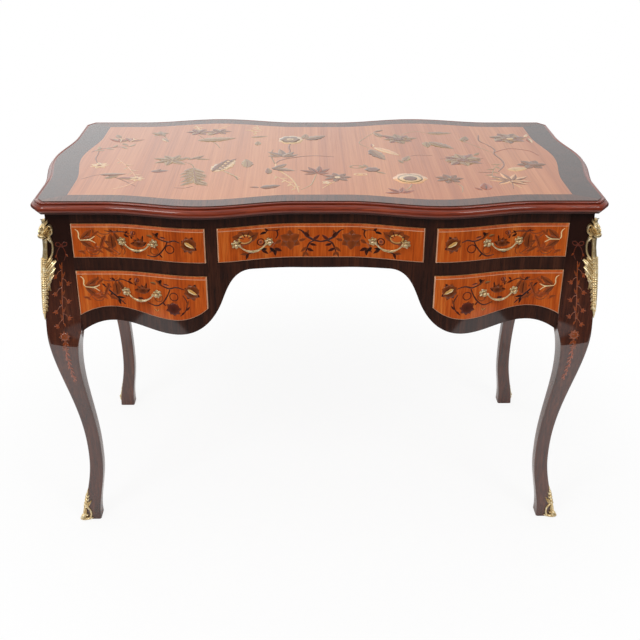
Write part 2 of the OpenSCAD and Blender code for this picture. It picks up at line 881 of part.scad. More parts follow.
// Bail: an arc with a bead in the middle and a collar and pin at each end
collar_r = 3.1;
collar_l = 4.4;
collar_gap = 0.4;
bead_out = 3.4;
module bail(x, z) {
    left = head_place(x - handle_w / 2);
    right = head_place(x + handle_w / 2);
    half = norm(right - left) / 2;
    end_x = half - head_r - collar_gap - collar_l / 2;
    arc_r = (end_x * end_x + bail_drop * bail_drop) / (2 * bail_drop);
    arc_half = asin(end_x / arc_r);
    mid = (left + right) / 2;
    color(gilt)
        translate([mid[0], mid[1], z])
        rotate([0, 0, handle_turn(x)]) {
            translate([0, 0, arc_r - bail_drop])
                rotate([90, 0, 0])
                rotate([0, 0, -90 - arc_half])
                rotate_extrude(angle = 2 * arc_half)
                translate([arc_r, 0])
                circle(bail_r);
            translate([0, 0, -bail_drop])
                rotate([0, 0, 90])
                sphere(bead_out);
            for (side = [-1, 1])
                on_side(side) {
                    translate([end_x - collar_l / 2, 0, 0])
                        rotate([90, 0, 90])
                        cylinder(h = collar_l, r = collar_r);
                    translate([end_x, 0, 0])
                        rotate([0, 90, 0])
                        cylinder(h = half - end_x + head_r / 2, r = pin_r);
                }
        }
}

// Fronts with the holes for their handles
module side_front(upper) {
    z = upper ? handle_upper_z : handle_lower_z;
    color(tulip_wood)
        difference() {
            if (upper)
                upper_front_solid(proud, front_t);
            else
                lower_front_solid(proud, front_t);
            stem_holes([handle_side_x - handle_w / 2, handle_side_x + handle_w / 2], z);
        }
}

module centre_front() {
    color(tulip_wood)
        difference() {
            centre_front_solid(proud, front_t);
            for (side = [-1, 1])
                on_side(side)
                    stem_holes([handle_centre_x - handle_w / 2, handle_centre_x + handle_w / 2],
                        handle_upper_z);
        }
}

// A gilt mount that wraps the outer corner of a leg. Each level has a width on both faces and a
// ridge that stands out over the corner.
mount_gap = 0.3;
mount_edge_t = 1.6;
mid_share = 0.45;
function wrap_ring(z, width, ridge) =
    let(corners = leg_corners(z),
        at = corners[2],
        to_front = unit(corners[3] - at),
        to_side = unit(corners[1] - at),
        out_front = [to_front[1], -to_front[0]],
        out_side = [-to_side[1], to_side[0]],
        away = unit([1, 1]),
        mid_t = along(mount_edge_t, ridge, mid_share))
    [for (p = [
        at + to_side * width + out_side * mount_gap,
        at + to_side * width + out_side * (mount_gap + mount_edge_t),
        at + to_side * width / 2 + out_side * (mount_gap + mid_t),
        at + away * (ridge + mount_gap),
        at + to_front * width / 2 + out_front * (mount_gap + mid_t),
        at + to_front * width + out_front * (mount_gap + mount_edge_t),
        at + to_front * width + out_front * mount_gap,
        at + away * 1.5 * mount_gap]) [p[0], p[1], z]];
wrap_cap = [[0, 1, 2], [0, 2, 7], [7, 2, 3], [7, 3, 4], [7, 4, 6], [4, 5, 6]];

// A swelling along a mount: its middle and reach as shares of the height, and its size
function lobe(t, spec) = spec[2] * swell((t - spec[0]) / spec[1]);
function lobes(t, specs) = [for (spec = specs) lobe(t, spec)];

// Corner mount from the foot of its husk (t = 0) to its shell (t = 1)
mount_drop = 15;
mount_top = case_top - mount_drop;
mount_rings = 26;
mount_tip = 3;
mount_spread = [[0.86, 0.16, 0.72], [0.70, 0.18, 0.62], [0.54, 0.20, 1], [0.30, 0.16, 0.55], [0.14, 0.24, 0.25]];
mount_relief = [[0.86, 0.13, 18], [0.70, 0.16, 4], [0.54, 0.18, 9], [0.30, 0.16, 3]];
function mount_width(t) = mount_tip + (mount_w - mount_tip) * max(lobes(t, mount_spread));
function mount_ridge(t) = mount_tip + max(lobes(t, mount_relief));
slot_l = 0.16 * mount_h;
slot_w = 8;
slot_t = 0.71;

module corner_mount() {
    slot_z = mount_top - mount_h * (1 - slot_t);
    slot_in = corner_in(slot_z);
    color(gilt)
        difference() {
            skin(
                [for (k = [0 : mount_rings])
                    let(t = k / mount_rings)
                    wrap_ring(mount_top - mount_h * (1 - t), mount_width(t), mount_ridge(t))],
                wrap_cap);
            translate([case_x - slot_in, case_y - slot_in, slot_z])
                rotate([0, 0, 45])
                rotate([0, 90, 0])
                linear_extrude(4 * slot_w, center = true)
                union() {
                    square([slot_l - slot_w, slot_w], center = true);
                    for (end = [-1, 1])
                        translate([end * (slot_l - slot_w) / 2, 0])
                            circle(slot_w / 2);
                }
        }
}

module corner_mounts(end) {
    for (side = [-1, 1])
        at_corner(side, end)
            corner_mount();
}

// Sabot from the floor (t = 0) to the tip of its husk (t = 1)
sabot_rings = 16;
sabot_tip = 2;
sabot_spread = [[0.20, 0.38, 0.9], [0.60, 0.15, 0.5], [0.85, 0.3, 0.12]];
sabot_relief = [[0.09, 0.18, 12], [0.45, 0.4, 2]];
function sabot_width(t) = sabot_tip + (sabot_w - sabot_tip) * max(lobes(t, sabot_spread));
function sabot_ridge(t) = sabot_tip + max(lobes(t, sabot_relief));

module sabot() {
    color(gilt)
        skin(
            [for (k = [0 : sabot_rings])
                let(t = k / sabot_rings)
                wrap_ring(sabot_h * t, sabot_width(t), sabot_ridge(t))],
            wrap_cap);
}

module sabots(end) {
    for (side = [-1, 1])
        at_corner(side, end)
            sabot();
}

top_core();
top_field_veneer();
top_crossband();
top_edge_moulding();
at_corner(-1, -1) leg();  // leg_front_left
at_corner(1, -1) leg();  // leg_front_right
at_corner(-1, 1) leg();  // leg_back_left
at_corner(1, 1) leg();  // leg_back_right
top_rail();
on_side(-1) divider_rail();  // divider_rail_left
on_side(1) divider_rail();  // divider_rail_right
on_side(-1) apron();  // apron_left
on_side(1) apron();  // apron_right
on_side(-1) kneehole_stile();  // kneehole_stile_left
on_side(1) kneehole_stile();  // kneehole_stile_right
kneehole_frieze();
on_side(-1) side_panel();  // side_panel_left
on_side(1) side_panel();  // side_panel_right
back_panel();
sham_drawer_fronts();
on_side(-1) kneehole_panel();  // kneehole_panel_left
on_side(1) kneehole_panel();  // kneehole_panel_right
on_side(-1) pedestal_bottom();  // pedestal_bottom_left
on_side(1) pedestal_bottom();  // pedestal_bottom_right
on_side(-1) runners();  // runners_left
on_side(1) runners();  // runners_right
runners_centre();
drawer_stops();
kickers();
glue_blocks();
on_side(-1) side_front(true);  // upper_left_front
on_side(-1) upper_sides();  // upper_left_sides
on_side(-1) upper_bottom();  // upper_left_bottom
on_side(-1) side_front(false);  // lower_left_front
on_side(-1) lower_sides();  // lower_left_sides
on_side(-1) lower_bottom();  // lower_left_bottom
centre_front();
centre_sides();
centre_bottom();
on_side(1) side_front(true);  // upper_right_front
on_side(1) upper_sides();  // upper_right_sides
on_side(1) upper_bottom();  // upper_right_bottom
on_side(1) side_front(false);  // lower_right_front
on_side(1) lower_sides();  // lower_right_sides
on_side(1) lower_bottom();  // lower_right_bottom
on_side(-1) handle_posts(handle_side_x, handle_upper_z);  // upper_left_posts
on_side(-1) handle_posts(handle_side_x, handle_lower_z);  // lower_left_posts
centre_posts();
handle_posts(handle_side_x, handle_upper_z);  // upper_right_posts
handle_posts(handle_side_x, handle_lower_z);  // lower_right_posts
on_side(-1) bail(handle_side_x, handle_upper_z);  // upper_left_bail
on_side(-1) bail(handle_side_x, handle_lower_z);  // lower_left_bail
on_side(-1) bail(handle_centre_x, handle_upper_z);  // centre_left_bail
bail(handle_centre_x, handle_upper_z);  // centre_right_bail
bail(handle_side_x, handle_upper_z);  // upper_right_bail
bail(handle_side_x, handle_lower_z);  // lower_right_bail
corner_mounts(-1);  // corner_mounts_front
corner_mounts(1);  // corner_mounts_back
sabots(-1);  // sabots_front
sabots(1);  // sabots_back
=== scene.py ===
from math import radians
import bpy
import bmesh
import numpy as np
from mathutils import Matrix, Vector


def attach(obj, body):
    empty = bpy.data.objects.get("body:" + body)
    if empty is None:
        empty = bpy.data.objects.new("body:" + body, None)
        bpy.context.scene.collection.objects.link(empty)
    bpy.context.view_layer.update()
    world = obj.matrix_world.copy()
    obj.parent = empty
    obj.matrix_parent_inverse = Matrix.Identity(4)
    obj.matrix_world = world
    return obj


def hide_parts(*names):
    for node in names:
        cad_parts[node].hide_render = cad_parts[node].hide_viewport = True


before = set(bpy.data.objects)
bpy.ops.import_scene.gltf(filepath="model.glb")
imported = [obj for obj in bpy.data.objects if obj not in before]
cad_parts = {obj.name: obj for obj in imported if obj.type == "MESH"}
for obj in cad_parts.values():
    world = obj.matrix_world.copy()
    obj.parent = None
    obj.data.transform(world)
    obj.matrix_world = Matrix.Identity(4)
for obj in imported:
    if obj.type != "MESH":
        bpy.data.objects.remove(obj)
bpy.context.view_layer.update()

print("stage: frame loaded")

# Lengths are in millimetres until a mesh is made. Sizes of the desk that the surfaces share:
desk = dict(
    height=790, topWidth=1124, topDepth=572, frontSwell=31, sideSwell=20, cantX=13, cantY=18,
    caseTop=766, inset=10, postWidth=49, railDepth=24, panel=20, swellX=240, swellReach=190,
    sideReach=165, stileX=230, centreX=208, upperTop=740, upperFoot=665, lowerTop=637, crest=555,
    archZ=645.5, proud=4, frontThick=22, gap=1, bandFront=37, bandSide=54, veneer=2)
caseX = desk["topWidth"] / 2 - desk["inset"]
caseY = desk["topDepth"] / 2 - desk["inset"]
postX = caseX - desk["postWidth"]
postY = caseY - desk["postWidth"]
railY = caseY - desk["railDepth"]


# One lobe of cosine squared: 1 in its middle and 0 where u reaches -1 and 1
def swell(u):
    return np.where(np.abs(u) < 1, np.cos(np.pi / 2 * np.clip(u, -1, 1)) ** 2, 0)


# Half the depth of the top at x: a straight edge and one swell on each side of the middle
def depthAt(x):
    lobe = swell((np.abs(x) - desk["swellX"]) / desk["swellReach"])
    return desk["topDepth"] / 2 + desk["frontSwell"] * lobe


# Half the width of the top at y: a straight edge and one swell in the middle
def widthAt(y):
    return desk["topWidth"] / 2 + desk["sideSwell"] * swell(np.asarray(y) / desk["sideReach"])


# The smooth step 3 t^2 - 2 t^3, held at 0 and 1 outside
def ease(t):
    t = np.clip(t, 0, 1)
    return t * t * (3 - 2 * t)


# From a to b by the share t
def lerp(a, b, t):
    return a + (b - a) * t


# Vectors divided by their lengths
def unit(vectors):
    return vectors / np.linalg.norm(vectors, axis=-1, keepdims=True)


# A shader socket on which Python's operators work
class Wire:
    def __init__(self, tree, socket=None):
        self.tree = tree
        self.socket = socket

    def node(self, kind, settings, sockets, out=0):
        made = self.tree.nodes.new(kind)
        for key, value in settings.items():
            if key == "stops":
                ramp = made.color_ramp
                while len(ramp.elements) < len(value):
                    ramp.elements.new(0.5)
                for element, (place, colour) in zip(ramp.elements, value):
                    element.position = place
                    element.color = colour
            else:
                setattr(made, key, value)
        for key, value in sockets.items():
            if isinstance(value, Wire):
                self.tree.links.new(value.socket, made.inputs[key])
            else:
                made.inputs[key].default_value = value
        return Wire(self.tree, made.outputs[out] if made.outputs else None)

    def maths(self, operation, a, b=0.5):
        return self.node("ShaderNodeMath", {"operation": operation}, {0: a, 1: b})

    def __add__(self, other):
        return self.maths("ADD", self, other)

    def __radd__(self, other):
        return self.maths("ADD", other, self)

    def __sub__(self, other):
        return self.maths("SUBTRACT", self, other)

    def __rsub__(self, other):
        return self.maths("SUBTRACT", other, self)

    def __mul__(self, other):
        return self.maths("MULTIPLY", self, other)

    def __rmul__(self, other):
        return self.maths("MULTIPLY", other, self)

    def __truediv__(self, other):
        return self.maths("DIVIDE", self, other)

    def __pow__(self, other):
        return self.maths("POWER", self, other)

    def mix(self, factor, a, b, blend="MIX"):
        return self.node("ShaderNodeMix", {"data_type": "RGBA", "blend_type": blend},
                         {0: factor, 6: a, 7: b}, out=2)

    # Each stop is a place from 0 to 1 and a colour
    def ramp(self, *stops):
        return self.node("ShaderNodeValToRGB", {"stops": stops}, {0: self})

    def smooth(self, lo, hi):
        return self.node("ShaderNodeMapRange", {"interpolation_type": "SMOOTHSTEP"},
                         {0: self, 1: lo, 2: hi, 3: 0.0, 4: 1.0})

    # One axis of a coordinate: 0 for x, 1 for y and 2 for z
    def axis(self, number):
        return self.node("ShaderNodeSeparateXYZ", {}, {0: self}, out=number)

    # Noise on a coordinate stretched by scale, per metre
    def noise(self, scale, detail=3.0, rough=0.55, place=(0, 0, 0)):
        at = self.node("ShaderNodeMapping", {}, {0: self, 1: place, 3: scale})
        return self.node("ShaderNodeTexNoise", {}, {"Vector": at, "Scale": 1.0, "Detail": detail,
                                                    "Roughness": rough})


# A colour written as 0 to 255 values of the screen, turned into linear light
def shade(red, green, blue):
    c = np.array([red, green, blue]) / 255
    c = np.where(c < 0.04045, c / 12.92, ((c + 0.055) / 1.055) ** 2.4)
    return (float(c[0]), float(c[1]), float(c[2]), 1.0)


# A colour whose channels are multiplied by the share
def deeper(colour, share):
    return tuple(c * share for c in colour[:3]) + (1.0,)


# An empty material and the wire that its nodes are made with
def newMaterial(name):
    material = bpy.data.materials.new(name)
    material.use_nodes = True
    material.node_tree.nodes.clear()
    return material, Wire(material.node_tree)


# What is the same all over goes on the shader's own sockets, and what varies is linked
def closeMaterial(w, constants, linked):
    shader = w.node("ShaderNodeBsdfPrincipled", {}, {**constants, **linked})
    w.node("ShaderNodeOutputMaterial", {}, {0: shader})


# The lacquer thins out along one axis of the surface, from start to end, down to a quarter of it, and the
# wood there is painted darker as shade. Returns the painted light, from 1 down to 1 - share, and the weight
# of its coat.
def paintedShadeAndThinCoat(along, coat, dim):
    lit = 1 - dim["share"] * along.smooth(dim["start"], dim["end"])
    return lit, coat * (0.25 + 0.75 * lit)


# Wood: a ramp of browns over fine streaks that are long along one axis, with broader figure
# across them, dark pores, and a lacquer coat. grain is the stretch of the noise per metre.
def woodMaterial(name, grain, dark, mid, light, figure=0.35, rough=0.32, coat=0.6, coatRough=0.06,
                 poreDepth=0.5, onUv=False, leaves=0.0, coatIor=1.5, dim=None, sheen=None):
    material, w = newMaterial(name)
    if onUv:
        at = w.node("ShaderNodeUVMap", {"uv_map": "uv"}, {})
    else:
        at = w.node("ShaderNodeTexCoord", {}, {}, out=3)
    grain = np.array(grain, float)
    wobble = at.noise(tuple(grain * 0.06), detail=2.0)
    sway = tuple(2.2 / grain * (grain > grain.max() / 4))
    bent = w.node("ShaderNodeVectorMath", {"operation": "MULTIPLY_ADD"}, {0: wobble, 1: sway, 2: at})
    streak = bent.noise(tuple(grain), detail=5.0, rough=0.6)
    broad = bent.noise(tuple(grain * 0.16), detail=2.0, place=(3.1, 1.7, 0.4))
    pores = bent.noise(tuple(grain * 3.2), detail=1.0, place=(7.0, 2.0, 5.0))
    mixed = streak * (1 - figure) + broad * figure
    colour = mixed.ramp((0.28, dark), (0.5, mid), (0.72, light))
    pore = 1 - pores.smooth(0.34, 0.46)
    colour = w.mix(pore * poreDepth, colour, deeper(dark, 0.45))
    if leaves:
        # leaves of veneer side by side, each a little darker or lighter, with a joint between them
        along = at.axis(0)
        count = w.maths("FLOOR", along / leaves)
        pick = w.node("ShaderNodeTexWhiteNoise", {"noise_dimensions": "1D"}, {"W": count})
        near = w.maths("ABSOLUTE", w.maths("FRACT", along / leaves) - 0.5)
        colour = w.mix(pick * 0.30, colour, mid, "MULTIPLY")
        colour = w.mix(near.smooth(0.492, 0.4985) * 0.5, colour, dark)
    gloss = rough + 0.12 * (streak - 0.5) + 0.05 * pore
    # painted shade: with dim, the colour is painted darker towards the dark wood where the painted light
    # falls off along one axis
    if dim:
        along = at.axis(dim["axis"])
        lit, coat = paintedShadeAndThinCoat(along, coat, dim)
        colour = w.mix(1 - lit, colour, deeper(dark, 0.6))
        if sheen:
            coat = coat + sheen["share"] * along.smooth(sheen["start"], sheen["end"])
    height = mixed - 0.5 * pore
    normal = w.node("ShaderNodeBump", {}, {"Strength": 0.06, "Distance": 0.0004, "Height": height})
    closeMaterial(w, {"Coat Roughness": coatRough, "Coat IOR": coatIor, "Specular IOR Level": 0.15},
                  {"Base Color": colour, "Roughness": gloss, "Coat Weight": coat, "Normal": normal})
    return material


# The legs' lacquer mirrors the floor below the knee and thins out up towards the case, where their veneer is
# painted darker, as shade under the case. The moulding's thins out towards its foot, whose underside is
# painted darker as shade, and is fullest on its bead. Heights and lengths here are in metres.
legDim = dict(axis=2, start=0.55, end=0.69, share=0.95)
mouldingDim = dict(axis=1, start=0.0185, end=0.0125, share=1.0)
mouldingSheen = dict(start=0.031, end=0.034, share=0.35)

woods = dict(
    darkVeneer=woodMaterial(
        "darkVeneer", (150, 150, 9), shade(30, 11, 5), shade(54, 24, 12), shade(84, 43, 24),
        rough=0.42, coat=0.9, coatIor=1.6),
    legVeneer=woodMaterial(
        "legVeneer", (150, 150, 9), shade(46, 17, 7), shade(80, 35, 17), shade(112, 58, 32),
        rough=0.42, coat=1.0, coatIor=1.8, poreDepth=0.35, dim=legDim),
    darkTop=woodMaterial(
        "darkTop", (170, 12, 170), shade(52, 24, 12), shade(84, 44, 26), shade(116, 68, 44),
        rough=0.36, coat=0.8),
    mahogany=woodMaterial(
        "mahogany", (9, 150, 150), shade(84, 24, 10), shade(132, 48, 22), shade(164, 72, 38),
        rough=0.34, coat=0.65, coatRough=0.03, onUv=True, dim=mouldingDim, sheen=mouldingSheen),
    topField=woodMaterial(
        "topField", (250, 2.6, 250), shade(172, 102, 60), shade(197, 123, 75), shade(214, 146, 96),
        figure=0.5, rough=0.34, coat=0.8, poreDepth=0.12, leaves=0.0935),
    drawerVeneer=woodMaterial(
        "drawerVeneer", (230, 230, 11), shade(144, 54, 12), shade(199, 87, 23), shade(232, 132, 55),
        figure=0.45, rough=0.34, coat=0.45, poreDepth=0.25),
    paleEdge=woodMaterial(
        "paleEdge", (60, 60, 60), shade(206, 140, 104), shade(226, 168, 132), shade(240, 190, 156),
        rough=0.35, coat=0.6, poreDepth=0.1),
    interior=woodMaterial(
        "interior", (160, 10, 160), shade(150, 106, 66), shade(178, 132, 86), shade(200, 156, 108),
        rough=0.6, coat=0.0, poreDepth=0.35),
)
print("stage: wood materials")


weld = 0.002  # points nearer than this, in millimetres, become one


# Joins grids of points, (rows, columns, 3) each. In each grid, points that fall together are welded,
# and quads that close on a pole become triangles. Returns the points in metres, the corners of each
# face, which of its four corners it keeps, and its uv, tint and material number.
def joinGrids(grids):
    points, cornerSets, uvSets, tintSets, slots = [], [], [], [], []
    base = 0
    for grid in grids:
        rows, columns = grid["points"].shape[:2]
        total = rows * columns
        index = np.arange(total).reshape(rows, columns)
        quads = np.stack([index[:-1, :-1], index[:-1, 1:], index[1:, 1:], index[1:, :-1]], -1).reshape(-1, 4)
        flat = grid["points"].reshape(-1, 3)
        key = np.round(flat / weld).astype(np.int64)
        _, first, back = np.unique(key, axis=0, return_index=True, return_inverse=True)
        points.append(flat[first])
        cornerSets.append(back.reshape(-1)[quads] + base)
        uvSets.append(grid.get("uv", np.zeros((total, 2))).reshape(-1, 2)[quads])
        tintSets.append(grid.get("tint", np.ones((total, 4))).reshape(-1, 4)[quads])
        slots.append(grid.get("slots", np.zeros(len(quads), int)).reshape(-1))
        base += len(first)
    corners, uvs, tints, slots = (np.concatenate(x) for x in (cornerSets, uvSets, tintSets, slots))
    keep = corners != np.roll(corners, -1, axis=1)
    keep &= ~((corners == np.roll(corners, 2, axis=1)) & (np.arange(4) > 1))
    good = keep.sum(1) > 2
    return np.concatenate(points) * 0.001, corners[good], keep[good], uvs[good], tints[good], slots[good]


# One piece from grids: a closed one is turned to face outwards, and an open one may be given a
# thickness in millimetres, inwards
def makePiece(name, grids, body, materials, replaces=(), sharp=38, closed=True, thick=0.0):
    points, corners, keep, uvs, tints, slots = joinGrids(grids)
    sizes = keep.sum(1)
    mesh = bpy.data.meshes.new(name)
    mesh.vertices.add(len(points))
    mesh.vertices.foreach_set("co", points.ravel())
    mesh.loops.add(int(sizes.sum()))
    mesh.loops.foreach_set("vertex_index", corners[keep].astype(np.int32))
    mesh.polygons.add(len(sizes))
    mesh.polygons.foreach_set("loop_start", np.concatenate([[0], np.cumsum(sizes)[:-1]]).astype(np.int32))
    mesh.polygons.foreach_set("material_index", slots.astype(np.int32))
    mesh.update(calc_edges=True)
    layer = mesh.uv_layers.new(name="uv")
    layer.data.foreach_set("uv", uvs[keep].ravel())
    colours = mesh.color_attributes.new("tint", "FLOAT_COLOR", "CORNER")
    colours.data.foreach_set("color", tints[keep].ravel())
    mesh.validate()
    if closed:
        work = bmesh.new()
        work.from_mesh(mesh)
        bmesh.ops.recalc_face_normals(work, faces=work.faces)
        work.to_mesh(mesh)
        work.free()
    mesh.shade_smooth()
    mesh.set_sharp_from_angle(angle=radians(sharp))
    piece = bpy.data.objects.new(name, mesh)
    bpy.context.scene.collection.objects.link(piece)
    for material in materials:
        mesh.materials.append(material)
    if thick:
        solid = piece.modifiers.new("thickness", "SOLIDIFY")
        solid.thickness = thick * 0.001
        solid.offset = -1
    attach(piece, body)
    if replaces:
        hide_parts(*replaces)


# A closed tube of rings, (rings, sides, 3), whose ends draw in to their middles. Its painted brightness, if
# it has one, becomes the tint, which paints shade on the gilt where it is low.
def tube(rings, paintedBright=None, **more):
    rings = np.concatenate([rings, rings[:, :1]], 1)
    first = np.broadcast_to(rings[:1, :-1].mean(1, keepdims=True), rings[:1].shape)
    last = np.broadcast_to(rings[-1:, :-1].mean(1, keepdims=True), rings[:1].shape)
    points = np.concatenate([first, rings, last])
    if paintedBright is not None:
        paintedBright = np.concatenate([paintedBright, paintedBright[:, :1]], 1)
        paintedBright = np.concatenate([paintedBright[:1], paintedBright, paintedBright[-1:]])
        more["tint"] = np.stack([paintedBright] * 3 + [np.ones_like(paintedBright)], -1)
    return dict(points=points, **more)


# Turns (along, outwards, up) into the desk's axes for a side of the case
def onSide(side, s, n, z):
    s, n, z = np.broadcast_arrays(s, n, z)
    turns = dict(front=(s, -n, z), back=(-s, n, z), right=(n, s, z), left=(-n, -s, z))
    return np.stack(turns[side], -1)


# A board that follows a swelled face. Its section at each station s is a loop between the heights
# lo(s) and hi(s), from the inner face to the outer face. A chamfer cuts back its edges and its ends,
# a wider bevel may take the chamfer's place along the top, with a string line below it. Its materials
# are 0 on the face and the bevel, 1 on the chamfer and the string line, and 2 elsewhere.
def slab(side, stations, lo, hi, outer, inner, chamfer=0.0, rows=6, bevel=0.0, line=0.0):
    s = np.concatenate([stations[:1], stations, stations[-1:]])
    if chamfer:
        s = np.concatenate([s[:2], [s[0] + chamfer], s[2:-2], [s[-1] - chamfer], s[-2:]])
    foot, head = lo(s), hi(s)
    out, back = outer(s), inner(s)
    atEnd = np.zeros(len(s), bool)
    atEnd[[0, 1, -2, -1]] = True
    low = foot + np.where(atEnd, 0, chamfer)
    high = head - np.where(atEnd, 0, bevel or chamfer)
    face = out - np.where(atEnd, chamfer, 0)
    below = high - np.where(atEnd, 0, line)
    more = 1 if bevel else 0
    ns = [back, out - chamfer] + [face] * (rows + more) + [out - chamfer, back, back]
    zs = [foot, foot] + [lerp(low, below, t) for t in np.linspace(0, 1, rows)]
    zs += [high] * more + [head, head, foot]
    ns, zs = np.stack(ns), np.stack(zs)
    ends = [0, -1]
    ns[:, ends] = (ns[2, ends] + ns[0, ends]) / 2
    zs[:, ends] = (zs[1, ends] + zs[-2, ends]) / 2
    slots = np.zeros((len(ns) - 1, len(s) - 1), int)
    if chamfer:
        slots[:] = 2
        slots[1:rows + 2 + more, 1:-1] = 1
        slots[2:rows + 1, 2:-2] = 0
        slots[rows + 2:rows + 2 + more, 2:-2] = 0
    return dict(points=onSide(side, s[None, :], ns, zs), slots=slots)


# A line at one height
def level(z):
    return lambda s: np.full_like(s, z, dtype=float)


# How far a face of the case stands out: the outline of the top, drawn in by the inset
def faceOf(out=0.0, wide=False):
    at = widthAt if wide else depthAt
    return lambda s: at(s) - desk["inset"] + out


# Evenly spaced stations about gap apart
def steps(a, b, gap=6.0):
    return np.linspace(a, b, max(2, int(round(abs(b - a) / gap)) + 1))


# Scalloped lines of the case as (x, z) from the post towards the middle: a lobe up to a crest, a
# half wave of cosine down to a trough, then cubic turns. Each line has its crest's height, the
# depth of its trough and its fall from the crest to the post.
scallop = dict(lobe=68, toTrough=75, drawer=dict(crest=desk["crest"], low=22, fall=21),
               apron=dict(crest=desk["crest"] - 31.5, low=23.5, fall=27.5), archRise=3)
crestX = postX - scallop["lobe"]
troughX = desk["stileX"] + scallop["toTrough"]


# From the post to the trough: a parabola from the fall up to the crest, then half a wave of cosine
def waveLine(crest, low, fall):
    x = np.concatenate([np.linspace(postX, crestX, 16)[:-1], np.linspace(crestX, troughX, 40)])
    wave = low * (1 - np.cos(np.pi * (crestX - x) / (crestX - troughX))) / 2
    lobe = fall * ((x - crestX) / scallop["lobe"]) ** 2
    return np.stack([x, crest - np.where(x > crestX, lobe, wave)], 1)


# A cubic curve from a to b, whose ends are pulled towards a + pullA and b + pullB
def cubicTurn(a, pullA, pullB, b, count=40):
    a, b = np.array(a, float), np.array(b, float)
    t = np.linspace(0, 1, count + 1)[1:, None]
    start = (1 - t) ** 3 * a + 3 * t * (1 - t) ** 2 * (a + pullA)
    return start + 3 * t * t * (1 - t) * (b + pullB) + t ** 3 * b


# Where a scalloped line reaches its trough, as (x, z)
def troughOf(line):
    return [troughX, line["crest"] - line["low"]]


drawerLine = np.concatenate([
    waveLine(**scallop["drawer"]),
    cubicTurn(troughOf(scallop["drawer"]), [-28, 0], [20, -20], [desk["stileX"], desk["crest"] + 10])])
waist = [desk["centreX"] - 5, desk["crest"] + 23]
shoulder = [desk["centreX"] - 66, desk["archZ"]]
friezeX = np.linspace(shoulder[0], 0, 16)[1:]
friezeZ = desk["archZ"] - scallop["archRise"] * (1 - (friezeX / shoulder[0]) ** 2)
apronLine = np.concatenate([
    waveLine(**scallop["apron"]),
    cubicTurn(troughOf(scallop["apron"]), [-50, 0], [19, -46], waist),
    cubicTurn(waist, [-13, 34], [36, 0], shoulder),
    np.stack([friezeX, friezeZ], 1)])


# A line as a height over x, the same on both halves of the desk
def heightOn(line):
    order = line[np.argsort(line[:, 0])]
    return lambda s: np.interp(np.abs(s), order[:, 0], order[:, 1])


apronFoot, drawerFoot = heightOn(apronLine), heightOn(drawerLine)
archCutX = waist[0] - 28


# The joint between a stile and the frieze: a straight line from the arch up to the drawer's corner
def mitreLine(s):
    return np.interp(np.abs(s), [archCutX, desk["centreX"]], [apronFoot(archCutX), desk["upperFoot"]])


# The outline of the top is four runs, one for each edge, drawn in by the insets and cut short at the
# corners
def outlineRuns(insetX, insetY, cutX, cutY, gap=5.0):
    halfX = desk["topWidth"] / 2 - insetX - cutX
    halfY = desk["topDepth"] / 2 - insetY - cutY
    x, y = steps(-halfX, halfX, gap), steps(-halfY, halfY, gap)
    front = np.stack([x, -(depthAt(x) - insetY)], 1)
    right = np.stack([widthAt(y) - insetX, y], 1)
    return front, right, -front, -right


field = dict(columns=161, rows=61, squeezeFrom=0.6)


# The field is a grid x = u * halfX, y = v * halfY, stretched to the outline: every row follows the
# front and back swells in step with v, and the ends bulge out beyond squeezeFrom of the width
def makeField():
    halfX = desk["topWidth"] / 2 - desk["bandSide"]
    halfY = desk["topDepth"] / 2 - desk["bandFront"]
    u, v = np.meshgrid(np.linspace(-1, 1, field["columns"]), np.linspace(-1, 1, field["rows"]))
    x, y = u * halfX, v * halfY
    bulge = widthAt(y) - desk["bandSide"] - halfX
    deep = depthAt(x) - desk["bandFront"] - halfY
    x = x + bulge * np.sign(u) * ease((np.abs(u) - field["squeezeFrom"]) / (1 - field["squeezeFrom"]))
    y = y + deep * v
    upper = np.stack([x, y, np.full_like(x, desk["height"])], -1)
    edge = np.pad(upper, ((1, 1), (1, 1), (0, 0)), mode="edge")
    underside = desk["height"] - desk["veneer"]
    edge[[0, -1], :, 2] = underside
    edge[:, [0, -1], 2] = underside
    lower = edge.copy()
    lower[:, :, 2] = underside
    sheet = dict(points=np.concatenate([edge, lower[::-1], edge[:1]]))
    makePiece("topField", [sheet], "desk", [woods["topField"]], ["top_field_veneer"])


# A line sampled again at count even places
def resampled(line, count):
    t, at = np.linspace(0, 1, count), np.linspace(0, 1, len(line))
    return np.stack([np.interp(t, at, line[:, k]) for k in (0, 1)], 1)


# The crossband is four bands between the outline of the field and that of the top, which meet at the
# middle of each canted corner. Each has a four-sided section and closed ends.
def makeCrossband():
    z1, z0 = desk["height"], desk["height"] - desk["veneer"]
    inside = outlineRuns(desk["bandSide"], desk["bandFront"], 0, 0)
    outside = outlineRuns(0, 0, desk["cantX"], desk["cantY"])
    bands = []
    for index in range(4):
        a, b = resampled(inside[index], 160), resampled(outside[index], 160)
        start = (outside[index - 1][-1] + b[0]) / 2
        finish = (b[-1] + outside[(index + 1) % 4][0]) / 2
        a = np.concatenate([a[:1], a, a[-1:]])
        b = np.concatenate([[start], b, [finish]])
        loops = [(a, z0), (a, z1), (b, z1), (b, z0), (a, z0)]
        grid = np.stack([np.concatenate([p, np.full((len(p), 1), z)], 1) for p, z in loops])
        caps = np.broadcast_to(grid.mean(0, keepdims=True)[:, [0, -1]], (len(loops), 2, 3))
        grid = np.concatenate([caps[:, :1], grid, caps[:, 1:]], 1)
        # the ends of the top are laid with a darker veneer than its front and back
        bands.append(dict(points=grid, slots=np.full((len(loops) - 1, grid.shape[1] - 1), index % 2)))
    makePiece("topCrossband", bands, "desk", [woods["darkTop"], woods["darkVeneer"]],
              ["top_crossband"])


